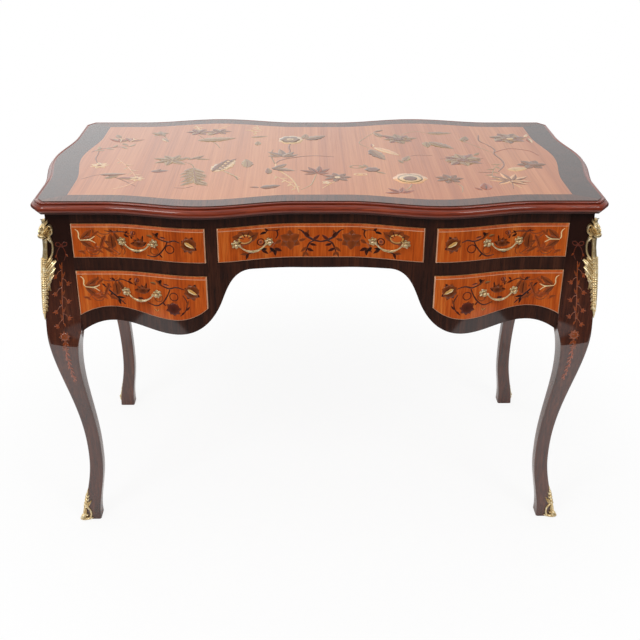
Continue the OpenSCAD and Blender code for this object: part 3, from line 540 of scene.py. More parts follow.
moulding = dict(out=15.0, band=0.57, bandZ=10.5, bandFrom=-68, bandTo=74, bead=2.2, beadFrom=-80,
                beadTo=150, belowTop=0.5, quirk=3.2)


# Points on a circle round (x, z), from start to finish in degrees
def arc(x, z, radius, start, finish, count):
    a = np.radians(np.linspace(start, finish, count))
    return np.stack([x + radius * np.cos(a), z + radius * np.sin(a)], 1)


# Section of the edge moulding, outwards and upwards from the foot of the core board: a fillet, a big
# round band, a groove, and a full round bead over a quirk
def mouldingSection():
    m, top = moulding, desk["height"] - desk["caseTop"] - moulding["belowTop"]
    radius = m["band"] * m["out"]
    neck = m["out"] - radius
    fillet = [[0, -1], [7.5, -1], [8.2, -0.4], [8.6, 1.2]]
    band = arc(neck, m["bandZ"], radius, m["bandFrom"], m["bandTo"], 22)
    groove = [[neck + 0.4, top - 4.6]]
    bead = arc(neck - 0.5, top - m["bead"], m["bead"], m["beadFrom"], m["beadTo"], 16)
    return np.concatenate([fillet, band, groove, bead, [[m["quirk"], top - 1.3], [0, top - 1.3]]])


# Length along a line up to each of its points
def lengthAlong(line):
    return np.concatenate([[0], np.cumsum(np.linalg.norm(np.diff(line, axis=0), axis=1))])


# The section goes round the outline: at each point it stands out along the mitre, the sum of the
# normals n of both sides, scaled by 2 / |n1 + n2|^2 so that its width holds at the corners
def makeMoulding():
    section = mouldingSection()
    outline = np.concatenate(outlineRuns(0, 0, desk["cantX"], desk["cantY"], gap=4.0))
    ahead = unit(np.roll(outline, -1, axis=0) - outline)
    normal = np.stack([ahead[:, 1], -ahead[:, 0]], 1)
    both = normal + np.roll(normal, 1, axis=0)
    mitre = 2 * both / (both * both).sum(1, keepdims=True)
    outline, mitre, section = (np.concatenate([x, x[:1]]) for x in (outline, mitre, section))
    plan = outline[:, None] + mitre[:, None] * section[None, :, :1]
    z = np.broadcast_to(desk["caseTop"] + section[None, :, 1], plan.shape[:2])
    uv = np.stack(np.broadcast_arrays(lengthAlong(outline)[:, None], lengthAlong(section)), -1) * 0.001
    grid = dict(points=np.concatenate([plan, z[..., None]], -1), uv=uv)
    makePiece("topEdgeMoulding", [grid], "desk", [woods["mahogany"]], ["top_edge_moulding"],
              sharp=50)


# Heights of a leg, and how far its corner and its inner faces stand from the corner of the case
leg = dict(kneeZ=500, kneeOut=21, ankleZ=165, ankleIn=24, ankleW=30, footIn=4, footW=37,
           flareTop=532, flareH=72, round=5.0, sharp=1.0, roundOver=60)


# How far the outer corner stands in from the case corner at each height: a half wave of cosine from
# the case out to the knee, another in to the ankle and a third out to the foot
def cornerIn(z):
    kneeZ, ankleZ = leg["kneeZ"], leg["ankleZ"]
    high = -leg["kneeOut"] * (1 + np.cos(np.pi * (z - kneeZ) / (desk["caseTop"] - kneeZ))) / 2
    u = np.clip((kneeZ - z) / (kneeZ - ankleZ), 0, None)
    swing = (leg["ankleIn"] + leg["kneeOut"]) / 2
    mid = leg["ankleIn"] - swing - swing * np.cos(np.pi * u ** 0.85)
    u = np.clip((ankleZ - z) / ankleZ, 0, None)
    mean, half = (leg["ankleIn"] + leg["footIn"]) / 2, (leg["ankleIn"] - leg["footIn"]) / 2
    low = mean + half * np.cos(np.pi * u ** 1.2)
    return np.where(z >= kneeZ, high, np.where(z >= ankleZ, mid, low))


# How far the inner faces stand in: the post's width above the knee, and below it the leg's width,
# which narrows by a power of the height to the ankle and widens again to the foot
def legInner(z):
    knee, ankle = desk["postWidth"] + leg["kneeOut"], leg["ankleW"]
    u = np.clip((z - leg["ankleZ"]) / (leg["kneeZ"] - leg["ankleZ"]), 0, None)
    v = np.clip((leg["ankleZ"] - z) / leg["ankleZ"], 0, None)
    wide = np.where(z >= leg["ankleZ"], ankle + (knee - ankle) * u ** 2.7,
                    ankle + (leg["footW"] - ankle) * v ** 1.5)
    return np.where(z >= leg["kneeZ"], desk["postWidth"], cornerIn(z) + wide)


# The ends of the outer faces by the rails: flush with the case above the flare, eased to the corner
def faceIn(z):
    return cornerIn(z) * ease((leg["flareTop"] - z) / leg["flareH"])


# Corners of the leg's section at each z, for the leg in the corner +x +y: inner, side, outer, front
def legCorners(z):
    inner, corner, face = legInner(z), cornerIn(z), faceIn(z)
    insets = [(inner, inner), (face, inner), (corner, corner), (inner, face)]
    return np.stack([np.stack([caseX - a, caseY - b], -1) for a, b in insets], 1)


# Rings of a leg: each corner of the section is rounded by a quadratic curve between points at the
# radius before and after it
def legRings(z, count=9):
    at = legCorners(z)
    before, after = unit(np.roll(at, 1, axis=1) - at), unit(np.roll(at, -1, axis=1) - at)
    edge = lerp(leg["sharp"], leg["round"], ease((leg["kneeZ"] - z) / leg["roundOver"]))
    radius = np.stack([edge, edge, np.full_like(z, leg["round"]), edge], 1)[:, :, None]
    first, last = (x[:, :, None] for x in (at + before * radius, at + after * radius))
    t = np.linspace(0, 1, count)[None, None, :, None]
    soft = (1 - t) ** 2 * first + 2 * t * (1 - t) * at[:, :, None] + t ** 2 * last
    soft = soft.reshape(len(z), -1, 2)
    return np.concatenate([soft, np.broadcast_to(z[:, None, None], soft.shape[:2] + (1,))], -1)


# Turns points of the corner +x +y into another corner of the desk
def atCorner(points, side, end):
    return points * np.array([side, end, 1.0])


# upper_left becomes upperLeft
def camel(node):
    first, *others = node.split("_")
    return first + "".join(word.capitalize() for word in others)


# One leg's rings, closer together in its curves, are turned into all four corners
def makeLegs():
    z = np.concatenate([np.linspace(0, leg["ankleZ"], 40),
                        np.linspace(leg["ankleZ"], leg["flareTop"], 70)[1:],
                        np.linspace(leg["flareTop"], desk["caseTop"], 40)[1:]])
    rings = legRings(z)
    for end, depth in ((-1, "front"), (1, "back")):
        for side, word in ((-1, "left"), (1, "right")):
            node = "leg_" + depth + "_" + word
            makePiece(camel(node), [tube(atCorner(rings, side, end))], "desk",
                      [woods["legVeneer"]], [node])


# The end panels of the case: half the length of the marquetry ground, its height above the foot of
# the panel and its top, and where the wave of the foot turns to a fall, as a share of the length. The
# ground is a string line with the veneer inside it.
sidePanel = dict(half=152, foot=26, top=730, wave=0.66, stringing=dict(inset=0, lift=0.03),
                 veneer=dict(inset=2.4, lift=0.07))


# The foot of a side panel: one wave down in the middle and a fall towards each post
def sideFoot(s):
    apron, turn = scallop["apron"], sidePanel["wave"] * postY
    wave = apron["low"] * (1 + np.cos(np.pi * s / turn)) / 2
    fall = apron["fall"] * ((np.abs(s) - turn) / (postY - turn)) ** 2
    return apron["crest"] - np.where(np.abs(s) > turn, fall, wave)


# Two distances from the middle as x on one side of the desk, the lower first
def sortedPair(side, a, b):
    return sorted((side * a, side * b))


# Each board of the case follows the swell on its face and is flat behind. The rails and the aprons run
# between two of the lines above, and the arch's corners meet on the mitre line.
def makeCase():
    back, caseTop = level(railY), level(desk["caseTop"])
    top, foot, low = level(desk["upperTop"]), level(desk["upperFoot"]), level(desk["lowerTop"])

    def board(name, grids, node):
        makePiece(name, grids, "desk", [woods["darkVeneer"]], [node])

    def rail(a, b, gap, lo, hi):
        return slab("front", steps(a, b, gap), lo, hi, faceOf(), back)

    board("topRail", [rail(-postX, postX, 6, top, caseTop)], "top_rail")
    frieze = [rail(-archCutX, archCutX, 3, apronFoot, foot)]
    for side, word in ((-1, "left"), (1, "right")):
        name = word.capitalize()
        pedestal = sortedPair(side, desk["stileX"], postX)
        stile = sortedPair(side, desk["centreX"], desk["stileX"])
        arch = sortedPair(side, archCutX, desk["centreX"])
        board("dividerRail" + name, [rail(*pedestal, 6, low, foot)], "divider_rail_" + word)
        board("apron" + name, [rail(*pedestal, 3, apronFoot, drawerFoot)], "apron_" + word)
        board("stile" + name, [rail(*stile, 2, apronFoot, top), rail(*arch, 2, apronFoot, mitreLine)],
              "kneehole_stile_" + word)
        panel = slab(word, steps(-postY, postY, 4), sideFoot, caseTop, faceOf(wide=True),
                     level(caseX - desk["panel"]))
        board("sidePanel" + name, [panel], "side_panel_" + word)
        frieze.append(rail(*arch, 2, mitreLine, foot))
    board("kneeholeFrieze", frieze, "kneehole_frieze")
    behind = slab("back", steps(-postX, postX, 3), apronFoot, caseTop, faceOf(), back)
    board("backPanel", [behind], "back_panel")


# Edges of a drawer front, in millimetres
front = dict(chamfer=2.2, rows=12, bevel=5.0, line=1.3)


# The lower fronts stop a gap above the line that the aprons give them
def lowerFoot(s):
    return drawerFoot(s) + desk["gap"]


upperFoot = level(desk["upperFoot"] + desk["gap"])
upperHead = level(desk["upperTop"] - desk["gap"])
lowerHead = level(desk["lowerTop"] - desk["gap"])

# Each drawer's side of the desk, and its front's foot and head
drawers = {
    "upper_left": (-1, upperFoot, upperHead), "lower_left": (-1, lowerFoot, lowerHead),
    "centre": (0, upperFoot, upperHead), "upper_right": (1, upperFoot, upperHead),
    "lower_right": (1, lowerFoot, lowerHead)}


# Where a front starts and ends along the desk: a gap clear of the stiles and the posts
def drawerRun(side):
    if side == 0:
        return -desk["centreX"] + desk["gap"], desk["centreX"] - desk["gap"]
    return sortedPair(side, desk["stileX"] + desk["gap"], postX - desk["gap"])


# The fronts follow the swell and stand proud of the case. The sham fronts at the back repeat them.
def makeFronts():
    coats = [woods["drawerVeneer"], woods["paleEdge"], woods["interior"]]
    out, shams = faceOf(desk["proud"]), []
    for node, (side, foot, head) in drawers.items():
        stations = steps(*drawerRun(side), 3)
        grid = slab("front", stations, foot, head, out, faceOf(-desk["frontThick"]), **front)
        makePiece(camel(node) + "Front", [grid], "drawer_" + node, coats,
                  [node + "_front"], sharp=20)
        shams.append(slab("back", stations, foot, head, out, faceOf(), **front))
    makePiece("shamFronts", shams, "desk", coats, ["sham_drawer_fronts"], sharp=20)


makeField()
makeCrossband()
makeMoulding()
makeLegs()
makeCase()
makeFronts()
print("stage: case, top, legs and fronts")


# The CAD nodes whose shape is right as it is get their woods
def paint(starts, ends, material):
    for node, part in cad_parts.items():
        if node.startswith(starts) or node.endswith(ends):
            part.data.materials.clear()
            part.data.materials.append(material)


paint(("runners", "pedestal", "drawer_stops", "kickers", "glue_blocks", "top_core"), ("_sides", "_bottom"),
      woods["interior"])
paint(("kneehole_panel",), (), woods["darkVeneer"])


# Gilt bronze: worn patches of three golds, and a painted shade of dull brown, rougher too, where the tint's
# painted
# brightness is low: in hollows, at the edges of raised work and underneath
def giltMaterial():
    material, w = newMaterial("giltBronze")
    at = w.node("ShaderNodeTexCoord", {}, {}, out=3)
    tint = w.node("ShaderNodeVertexColor", {"layer_name": "tint"}, {})
    worn = at.noise((170, 170, 170), detail=4.0)
    fine = at.noise((1700, 1700, 1700), detail=2.0)
    golds = shade(208, 176, 122), shade(232, 208, 158), shade(250, 238, 206)
    colour = worn.ramp(*zip((0.32, 0.52, 0.7), golds))
    paintedHollowShade = 1 - w.node("ShaderNodeSeparateColor", {}, {0: tint})
    colour = w.mix(paintedHollowShade * 0.92, colour, shade(88, 56, 24))
    rough = 0.26 + 0.16 * worn + 0.3 * paintedHollowShade
    normal = w.node("ShaderNodeBump", {}, {"Strength": 0.15, "Distance": 0.0003, "Height": fine + worn})
    closeMaterial(w, {"Metallic": 0.82, "Specular IOR Level": 0.6},
                  {"Base Color": colour, "Roughness": rough, "Normal": normal})
    return material


gilt = giltMaterial()


# A smooth line through points: a cubic over each four neighbours, read at count places
def throughPoints(points, count=24):
    p = np.array(points, float)
    p = np.concatenate([2 * p[:1] - p[1:2], p, 2 * p[-1:] - p[-2:-1]])
    t = np.linspace(0, len(p) - 3, count)
    k = np.minimum(t.astype(int), len(p) - 4)
    f = (t - k)[:, None]
    a, b, c, d = p[k], p[k + 1], p[k + 2], p[k + 3]
    cubic = (2 * a - 5 * b + 4 * c - d) * f ** 2 + (3 * b - a - 3 * c + d) * f ** 3
    return 0.5 * (2 * b + (c - a) * f + cubic)


# Straight steps between a few values, read at count places
def profileOf(values, count):
    return np.interp(np.linspace(0, 1, count), np.linspace(0, 1, len(values)), values)


# Unit normals to the left of a line in the plane
def leftOf(line):
    along = np.gradient(line, axis=0)
    along /= np.linalg.norm(along, axis=1, keepdims=True) + 1e-9
    return np.stack([-along[:, 1], along[:, 0]], 1)


# A raised band of ornament: it follows a line (u, v) on a surface, with half width, crown height and
# foot height given along it. Its section is a half round, sqrt(1 - v^2), between the crown and the
# foot, with a groove down the middle and ribs that swell it. place(u, v, h) puts it on the surface.
def band(place, points, half, crown, foot=(-0.2,), groove=0.0, ribs=0, rib=0.0, count=22, across=9):
    line = throughPoints(points, count)
    half, crown, foot = (profileOf(x, count)[:, None] for x in (half, crown, foot))
    wave = 1 + rib * np.cos(2 * np.pi * ribs * np.linspace(0, 1, count))[:, None]
    v = np.cos(np.linspace(np.pi, 0, across))
    dome = np.clip(1 - v ** 2, 0, 1) ** 0.5 * (1 - groove * np.exp(-(v / 0.28) ** 2))
    lift = dome * wave
    offsets = half * wave * np.concatenate([v, v[-2:0:-1]])
    uv = line[:, None] + leftOf(line)[:, None] * offsets[..., None]
    under = np.zeros((count, across - 2))
    h = np.concatenate([foot + (crown - foot) * lift, foot + under], 1)
    # painted shade: darker towards the band's edges and between the swells of its ribs, and dark on its
    # underside
    paintedBright = np.concatenate([np.clip(0.25 + 0.9 * lift * wave ** 4, 0, 1), under], 1)
    return tube(place(uv[..., 0], uv[..., 1], h), paintedBright=paintedBright)


# The corner of a leg is rounded, so what lies on it turns over a short way and sinks in a little
wrap = dict(turn=7, cut=1.2, cutWidth=3.0, lift=0.3)


# Wrap of a mount: u runs round the outer corner of a leg (0 on the corner, above 0 on the front
# face, below 0 on the end face), v is the height above the floor and h stands out from the wood
def onCorner(u, v, h):
    u, v, h = np.broadcast_arrays(u, v, h)
    z = v.ravel()
    section = legCorners(z).reshape(v.shape + (4, 2))
    at = section[..., 2, :]
    front, side = unit(section[..., 3, :] - at), unit(section[..., 1, :] - at)
    outFront = np.stack([front[..., 1], -front[..., 0]], -1)
    outSide = np.stack([-side[..., 1], side[..., 0]], -1)
    turn = ease((u + wrap["turn"]) / (2 * wrap["turn"]))[..., None]
    out = unit(outSide * (1 - turn) + outFront * turn)
    flat = at + front * np.clip(u, 0, None)[..., None] + side * np.clip(-u, 0, None)[..., None]
    cut = wrap["cut"] * np.exp(-(u / wrap["cutWidth"]) ** 2)[..., None]
    flat = flat + out * (h[..., None] + wrap["lift"] - cut)
    return np.concatenate([flat, v[..., None]], -1)


# The same wrap turned round: u becomes -u
def mirrorU(place):
    return lambda u, v, h: place(-u, v, h)


# The corner mount hangs from its top. Its shell opens upwards from shellDrop below that, with one
# flute for each (degrees from upright, reach, crown), and small leaves go down its spine.
mount = dict(top=desk["caseTop"] - 15, shellDrop=36, shellSquash=0.72, spineLeaves=6, spineLeafGap=9,
             flutes=((6, 25, 18), (26, 25, 16), (48, 23, 12.5), (72, 19, 9), (98, 14, 6.5)))

# Acanthus lobes of the mount: four points as (u, drop), then the half width and the crown
acanthus = (
    ((3, 114), (9, 103), (15.5, 95), (21.5, 90), 6.0, 9.4),
    ((3, 126), (9, 116), (15, 109), (20.5, 105), 5.8, 8.0),
    ((3, 137), (8, 129), (13, 123), (18, 120), 5.2, 7.0),
    ((2, 99), (6, 92), (10, 88), (13.5, 84), 4.6, 9.5),
    ((3, 146), (6, 140), (10, 135), (13.6, 133), 3.8, 5.8))


# Corner mount, from the finial at the top to the husk at the foot. Its lines are (u, drop), where drop
# is how far a point lies below the mount's top.
def cornerMount():
    parts = []

    def add(place, points, half, crown, **more):
        line = [(u, mount["top"] - drop) for u, drop in points]
        parts.append(band(place, line, half, crown, **more))

    # spine down the corner: ribbed, from the acanthus to the husk tip
    add(onCorner, [(0, 84), (0, 120), (0, 165), (0, 200)], [5.2, 5.6, 5.2, 4.0], [10, 9.3, 6.8, 4.6],
        ribs=27, rib=0.12, count=190, across=11)
    add(onCorner, [(0, 190), (0, 203), (0, 217)], [2.6, 3.6, 2.2, 0.4], [3.4, 4.6, 3.0, 1.0], count=20)
    # bar on the corner between the two openings
    add(onCorner, [(0, 44), (0, 62), (0, 86)], [4.6, 4.0, 5.0], [8.6, 7.4, 8.6], groove=0.3, count=24)
    # boss, its collar and the scroll under the shell
    add(onCorner, [(0, 30), (0, 35), (0, 41)], [1.0, 4.4, 4.6, 1.0], [13, 17.5, 17, 12], foot=[8, 8, 8],
        count=18, across=13)
    for place in (onCorner, mirrorU(onCorner)):
        # side bar of the opening
        add(place, [(5, 42), (12.2, 50), (14.4, 63), (12.6, 78), (6, 89)], [2.6, 2.3, 2.1, 2.4, 3.0],
            [7, 4.6, 4.2, 4.8, 8], count=34)
        # shell: flutes that open upwards and outwards
        for degrees, reach, crown in mount["flutes"]:
            a, root = np.radians(degrees), mount["shellDrop"]
            u, drop = reach * np.sin(a) * mount["shellSquash"], root - reach * np.cos(a)
            add(place, [(0.6 * np.sin(a), root + 1), (u / 2, (root + drop) / 2), (u, drop)],
                [0.8, 2.1, 3.0, 1.4], [15 - 0.05 * degrees, crown, crown * 0.8, crown * 0.45],
                foot=[2, 0.5, 0, 0], groove=0.35, count=18)
        # rim scroll beside the shell
        add(place, [(3, 20), (9, 15), (13, 22), (12.5, 31), (8.5, 35), (6.5, 31), (8.6, 28)],
            [1.4, 2.0, 2.3, 2.3, 2.0, 1.6, 1.2], [7, 7, 6, 5, 5, 5, 5], count=40)
        add(place, [(2, 44), (6, 40), (10, 42), (11, 47), (8, 49)], [1.2, 1.8, 1.9, 1.6, 1.1],
            [9, 8, 6, 5, 5], count=26)
        # acanthus: its rib, then the lobes with their tips up and outwards
        add(place, [(3, 154), (7.4, 134), (10.4, 114), (12.4, 96)], [2.0, 6.4, 8.4, 6.0],
            [4.8, 5.6, 5.8, 4.2], groove=0.2, ribs=9, rib=0.05, count=60)
        for *line, half, crown in acanthus:
            add(place, line, [half * 0.8, half, half * 0.95, half * 0.42],
                [crown, crown * 0.92, crown * 0.7, 3.6], groove=0.35, count=20)
        # lower leaf with its tip down and outwards, and small leaves along the spine
        add(place, [(5, 122), (8.4, 134), (9.4, 144), (13, 154)], [3.0, 3.4, 2.6, 0.6],
            [7.4, 6.6, 4.8, 2.6], groove=0.3, count=22)
        for k in range(mount["spineLeaves"]):
            drop, reach = 148 + mount["spineLeafGap"] * k, 8.6 - 0.5 * k
            add(place, [(1.5, drop), (reach * 0.6, drop), (reach, drop + 5)], [2.6, 3.2, 1.6],
                [6.0 - 0.3 * k, 5.0 - 0.3 * k, 2.4], groove=0.5, count=12)
    # finial: a leaf that curls away from the corner
    add(onCorner, [(0, 17), (0, 9), (0, 3), (0, 0)], [4.2, 3.6, 2.6, 0.5], [11, 7.5, 8.5, 11],
        foot=[4, 3, 5, 10], groove=0.25, count=18)
    for place in (onCorner, mirrorU(onCorner)):
        add(place, [(1.5, 14), (5, 8), (5.8, 3)], [2.0, 2.0, 0.4], [8, 6, 5], groove=0.2, count=12)
    return parts


# Heights of the husks on a sabot's string, and each side leaf's height and reach
husks = (37, 44.5, 52, 59, 65.5)
sabotLeaves = ((41, 7.0), (49, 6.6), (57, 5.6))


# Sabot: spike, string of husks, small leaf, teardrop loop and rolled toe. Its lines are (u, height).
def sabot():
    parts = []

    def add(place, points, half, crown, **more):
        parts.append(band(place, points, half, crown, **more))

    add(onCorner, [(0, 68), (0, 73), (0, 78)], [2.2, 1.6, 0.3], [2.4, 1.9, 0.8], count=12)
    for k, z in enumerate(husks):
        add(onCorner, [(0, z - 3.6), (0, z), (0, z + 4.2)], [1.2, 5.6 - 0.5 * k, 0.9],
            [2.6, 6.8 - 0.5 * k, 2.0], groove=0.35, count=12)
    # rolled toe and the bar above it
    add(onCorner, [(0, 2), (0, 6), (0, 13), (0, 20)], [4.2, 5.0, 3.6, 2.0], [9.5, 13.2, 10, 4],
        count=22, across=13)
    add(onCorner, [(0, 18), (0, 27), (0, 35)], [2.4, 2.2, 2.6], [4.6, 4.2, 4.6], count=16)
    for place in (onCorner, mirrorU(onCorner)):
        # teardrop loop, the scroll in it, the leaf above it and the edge along the floor
        add(place, [(1, 34), (6.4, 32), (13.2, 23), (14.6, 12.5), (11, 5.4), (3, 3.4)],
            [2.2, 2.2, 2.3, 2.6, 3.0, 3.4], [4.4, 4.0, 4.0, 4.4, 6.0, 8.5], count=44)
        add(place, [(2, 31), (3.4, 24), (3.0, 17), (4.4, 12), (7.2, 13), (6.6, 16.5)],
            [1.2, 1.7, 2.0, 1.8, 1.4, 0.9], [3.8, 4.6, 5.0, 4.4, 3.6, 3.2], count=34)
        add(place, [(2, 33), (7.4, 40), (12.6, 51)], [2.0, 3.6, 1.0], [4.8, 4.4, 2.6], groove=0.45,
            count=20)
        add(place, [(2, 4), (9, 3.8), (15, 3.6), (19.5, 5)], [3.4, 3.4, 2.6, 1.0], [9, 6.4, 4, 1.8],
            count=24)
        for z, reach in sabotLeaves:
            add(place, [(0.8, z), (reach * 0.7, z + 2), (reach, z + 7)], [1.6, 2.2, 0.6],
                [4.0, 3.4, 2.0], count=14)
    return parts


# One mount and one sabot are shaped on the corner +x +y, and each piece holds the left and the right
# one of the front or the back
def makeMounts():
    for shape, node in ((cornerMount(), "corner_mounts_"), (sabot(), "sabots_")):
        for end, word in ((-1, "front"), (1, "back")):
            grids = [{**g, "points": atCorner(g["points"], side, end)} for side in (-1, 1) for g in shape]
            makePiece(camel(node + word), grids, "desk", [gilt], [node + word], sharp=50)


# The bail hangs between two posts that stand width apart. Its rod is reach in front of the wood and
# hangs drop below its pins. Each end has a bead that stays gap clear of the post's head.
handle = dict(width=66, reach=9, drop=15, head=4.2, gap=0.4, bead=2.2, rod=1.55, pin=1.2, petals=6)

# Each drawer's handles, with the x and z of their middles
handlePlaces = {
    "upper_left": {"upper_left": (-368.0, 704.0)}, "lower_left": {"lower_left": (-368.0, 593.0)},
    "centre": {"centre_left": (-138.0, 704.0), "centre_right": (138.0, 704.0)},
    "upper_right": {"upper_right": (368.0, 704.0)}, "lower_right": {"lower_right": (368.0, 593.0)}}
upright = np.array([0, 0, 1.0])


# The drawer fronts' face at x: its point on the floor's level, the way to the right along it and the
# way out of it. The slope of the swell, taken over 2 mm, turns (-slope, -1) into the way out.
def frameAt(x):
    slope = float(depthAt(x + 1) - depthAt(x - 1)) / 2
    out = unit(np.array([-slope, -1.0, 0.0]))
    right = np.array([-out[1], out[0], 0.0])
    return np.array([x, -float(faceOf(desk["proud"])(x)), 0.0]), right, out


# Square to the front at x: u to the right, v up and h outwards
def onFrontAt(x, z):
    base, right, out = frameAt(x)
    return lambda u, v, h: base + (z + v)[..., None] * upright + u[..., None] * right + h[..., None] * out


# A turned shape: rings of radius r and height h. Petals cut into each ring by its depth: the radius
# is r times 1 - depth (1 - |cos(petals (a + spin) / 2)|^0.7) at the angle a.
def turned(place, radius, height, petals=0, depth=(0.0,), paintedBright=(1.0,), sides=48, spin=0.0):
    a = np.linspace(0, 2 * np.pi, sides, endpoint=False)
    rings = len(radius)
    radius, height, depth, paintedBright = (profileOf(x, rings)[:, None] for x in (radius, height, depth, paintedBright))
    swing = 1 - depth * (1 - np.abs(np.cos(petals * (a + spin) / 2)) ** 0.7)
    u, v = radius * swing * np.cos(a), radius * swing * np.sin(a)
    # painted shade: each ring's painted brightness, darkened in the cuts between the petals
    return tube(place(u, v, height + depth * 2.4 * (swing - 1)), paintedBright=paintedBright * (0.35 + 0.65 * swing ** 3))


# The rings of the rosette and the post, each with its painted brightness: painted shade at the rosette's
# foot rim, in the dip inside its petals and at its middle, and lower on the post's foot
rosette = dict(
    radius=[8.0, 8.9, 9.0, 8.2, 6.6, 5.2, 4.3, 3.4], height=[0.35, 0.6, 1.5, 2.3, 1.8, 2.3, 3.0, 3.2],
    depth=[0.25, 0.3, 0.3, 0.28, 0.24, 0.12, 0, 0], paintedBright=[0.2, 0.6, 1, 1, 0.45, 0.9, 0.7, 0.2],
    petals=handle["petals"], spin=0.3)
post = dict(
    radius=[2.6, 2.6, 2.9, 3.9, 4.25, 4.0, 3.0, 1.4], height=[2.4, 5.2, 5.9, 6.9, 9.0, 10.9, 12.4, 13.1],
    paintedBright=[0.4, 0.7, 0.6, 1, 1, 1, 0.9, 0.8], sides=28)


# A handle's post: a rosette with a ring of petals, the turned post, and behind the wood its threaded
# stem with a nut
def makePost(x, z):
    place = onFrontAt(x, z)
    parts = [turned(place, **rosette), turned(place, **post)]
    for a in 2 * np.pi * np.arange(handle["petals"]) / handle["petals"] - 0.3:
        line = np.outer([2.6, 5.6, 9.3], [np.cos(a), np.sin(a)])
        parts.append(band(place, line, [0.9, 1.7, 1.2], [2.6, 3.1, 2.2], foot=[0.9], groove=0.25,
                          count=10, across=7))
    back = -(desk["frontThick"] + desk["proud"])
    parts.append(turned(place, [2, 2], [back - 5, 1.0], sides=16))
    parts.append(turned(place, [5, 5], [back - 4.3, back - 0.3], sides=6))
    return parts


# A bail in its own plane, with u across between the posts and w up from its pins. Its rod is an arc of
# radius (endU^2 + drop^2) / (2 drop), so that it passes endU to each side and drop below the pins.
def makeBail(x, z):
    leftAt, _, leftOut = frameAt(x - handle["width"] / 2)
    rightAt, _, rightOut = frameAt(x + handle["width"] / 2)
    left, right = leftAt + leftOut * handle["reach"], rightAt + rightOut * handle["reach"]
    across = unit(right - left)
    out = np.array([across[1], -across[0], 0])
    middle = (left + right) / 2 + z * upright
    half = np.linalg.norm(right - left) / 2
    endU = half - handle["head"] - handle["gap"] - handle["bead"]
    radius = (endU ** 2 + handle["drop"] ** 2) / (2 * handle["drop"])
    widest = np.arcsin(endU / radius)
    turn = np.linspace(0, 2 * np.pi, 16, endpoint=False)

    # round sections of the given thickness along a line (u, w) whose normals are (normalU, normalW)
    def rod(u, w, normalU, normalW, thick):
        u, w, normalU, normalW, thick = np.broadcast_arrays(u, w, normalU, normalW, thick)
        off = thick[:, None] * np.cos(turn)
        u, w = u[:, None] + normalU[:, None] * off, w[:, None] + normalW[:, None] * off
        depth = thick[:, None] * np.sin(turn)
        points = middle + u[..., None] * across + depth[..., None] * out + w[..., None] * upright
        # painted shade on the rod's front and back, lighter along its edges in the plane of the bail
        return tube(points, paintedBright=np.broadcast_to(0.75 + 0.25 * np.cos(turn) ** 2, u.shape))

    def rodOnArc(angle, thick):
        sine, cosine = np.sin(angle), np.cos(angle)
        return rod(radius * sine, radius - handle["drop"] - radius * cosine, sine, -cosine, thick)

    # the slim rod, thickest beside the middle bead
    t = np.linspace(-1, 1, 65)
    thick = handle["rod"] + 0.95 * np.exp(-((np.abs(t) - 0.22) / 0.2) ** 2)
    parts = [rodOnArc(widest * t, thick + 0.35 * np.exp(-((np.abs(t) - 0.95) / 0.06) ** 2))]
    # the middle bead and a smaller one each side of it
    s = np.linspace(-1, 1, 13)
    for centre, size, long in ((0.0, 3.35, 1.5), (-0.085, 2.9, 1.2), (0.085, 2.9, 1.2)):
        bead = size * (np.sqrt(np.clip(1 - s ** 2, 0, 1)) * 0.55 + 0.45 * (np.abs(s) < 0.99))
        parts.append(rodOnArc(widest * centre + s * long / radius, bead))
    # the beads at the ends and the pins that turn in the posts
    s = np.linspace(0, 1, 13)
    for sign in (-1, 1):
        along = sign * (endU + handle["bead"] * (2 * s - 1))
        parts.append(rod(along, 0, 0, 1, 2.0 + 1.0 * np.sin(np.pi * s)))
        parts.append(rod(sign * np.linspace(endU, half + 2.1, 5), 0, 0, 1, handle["pin"]))
    return parts


# The posts ride on their drawer, and each bail is a piece of its own, because it swings
def makeHandles():
    for drawer, handles in handlePlaces.items():
        posts = [(x + end * handle["width"], z) for x, z in handles.values() for end in (-0.5, 0.5)]
        grids = [grid for x, z in posts for grid in makePost(x, z)]
        makePiece(camel(drawer) + "Posts", grids, "drawer_" + drawer, [gilt],
                  [drawer + "_posts"], sharp=40)
        for node, (x, z) in handles.items():
            makePiece(camel(node) + "Bail", makeBail(x, z), "bail_" + node, [gilt],
                      [node + "_bail"], sharp=40)


makeMounts()
makeHandles()
print("stage: gilt")


# Marquetry: every inlay is a thin grid of (u, v) points in the plane of its panel, laid on the veneer
# in four levels: vines first, then leaves, blossoms and their middles
inlayLift = dict(stem=0.03, leaf=0.085, bloom=0.14, eye=0.195)
tone = dict(
    cream=shade(246, 214, 158), gold=shade(226, 170, 92), honey=shade(204, 98, 34), brown=shade(134, 64, 24),
    rust=shade(150, 70, 26), faint=shade(164, 74, 30), dark=shade(66, 24, 8), black=shade(34, 12, 6),
    plum=shade(96, 38, 24), wine=shade(100, 40, 22), olive=shade(148, 114, 66), sage=shade(168, 134, 88),
    grey=shade(156, 120, 86), slate=shade(122, 90, 66), ivory=shade(226, 190, 146),
    straw=shade(222, 178, 122), peach=shade(232, 176, 128), rose=shade(176, 104, 80),
    inkBrown=shade(134, 84, 52), mulberry=shade(136, 88, 74))

# Tones that the sand has shaded to slate, where the others go to dark
slateShaded = ("grey", "slate", "olive", "sage", "inkBrown", "ivory", "mulberry")
plain = ("straw", "peach", "ivory")  # tones whose leaves show no vein


# From one tone to another by the shares t, which gives a colour for each point
def blendTone(a, b, t):
    return lerp(np.array(tone[a]), np.array(tone[b]), np.asarray(t)[..., None])


# Turns (x, y) by an angle in degrees and moves it to (u, v)
def placed(x, y, u, v, degrees):
    a = np.radians(degrees)
    return np.stack([u + x * np.cos(a) - y * np.sin(a), v + x * np.sin(a) + y * np.cos(a)], -1)


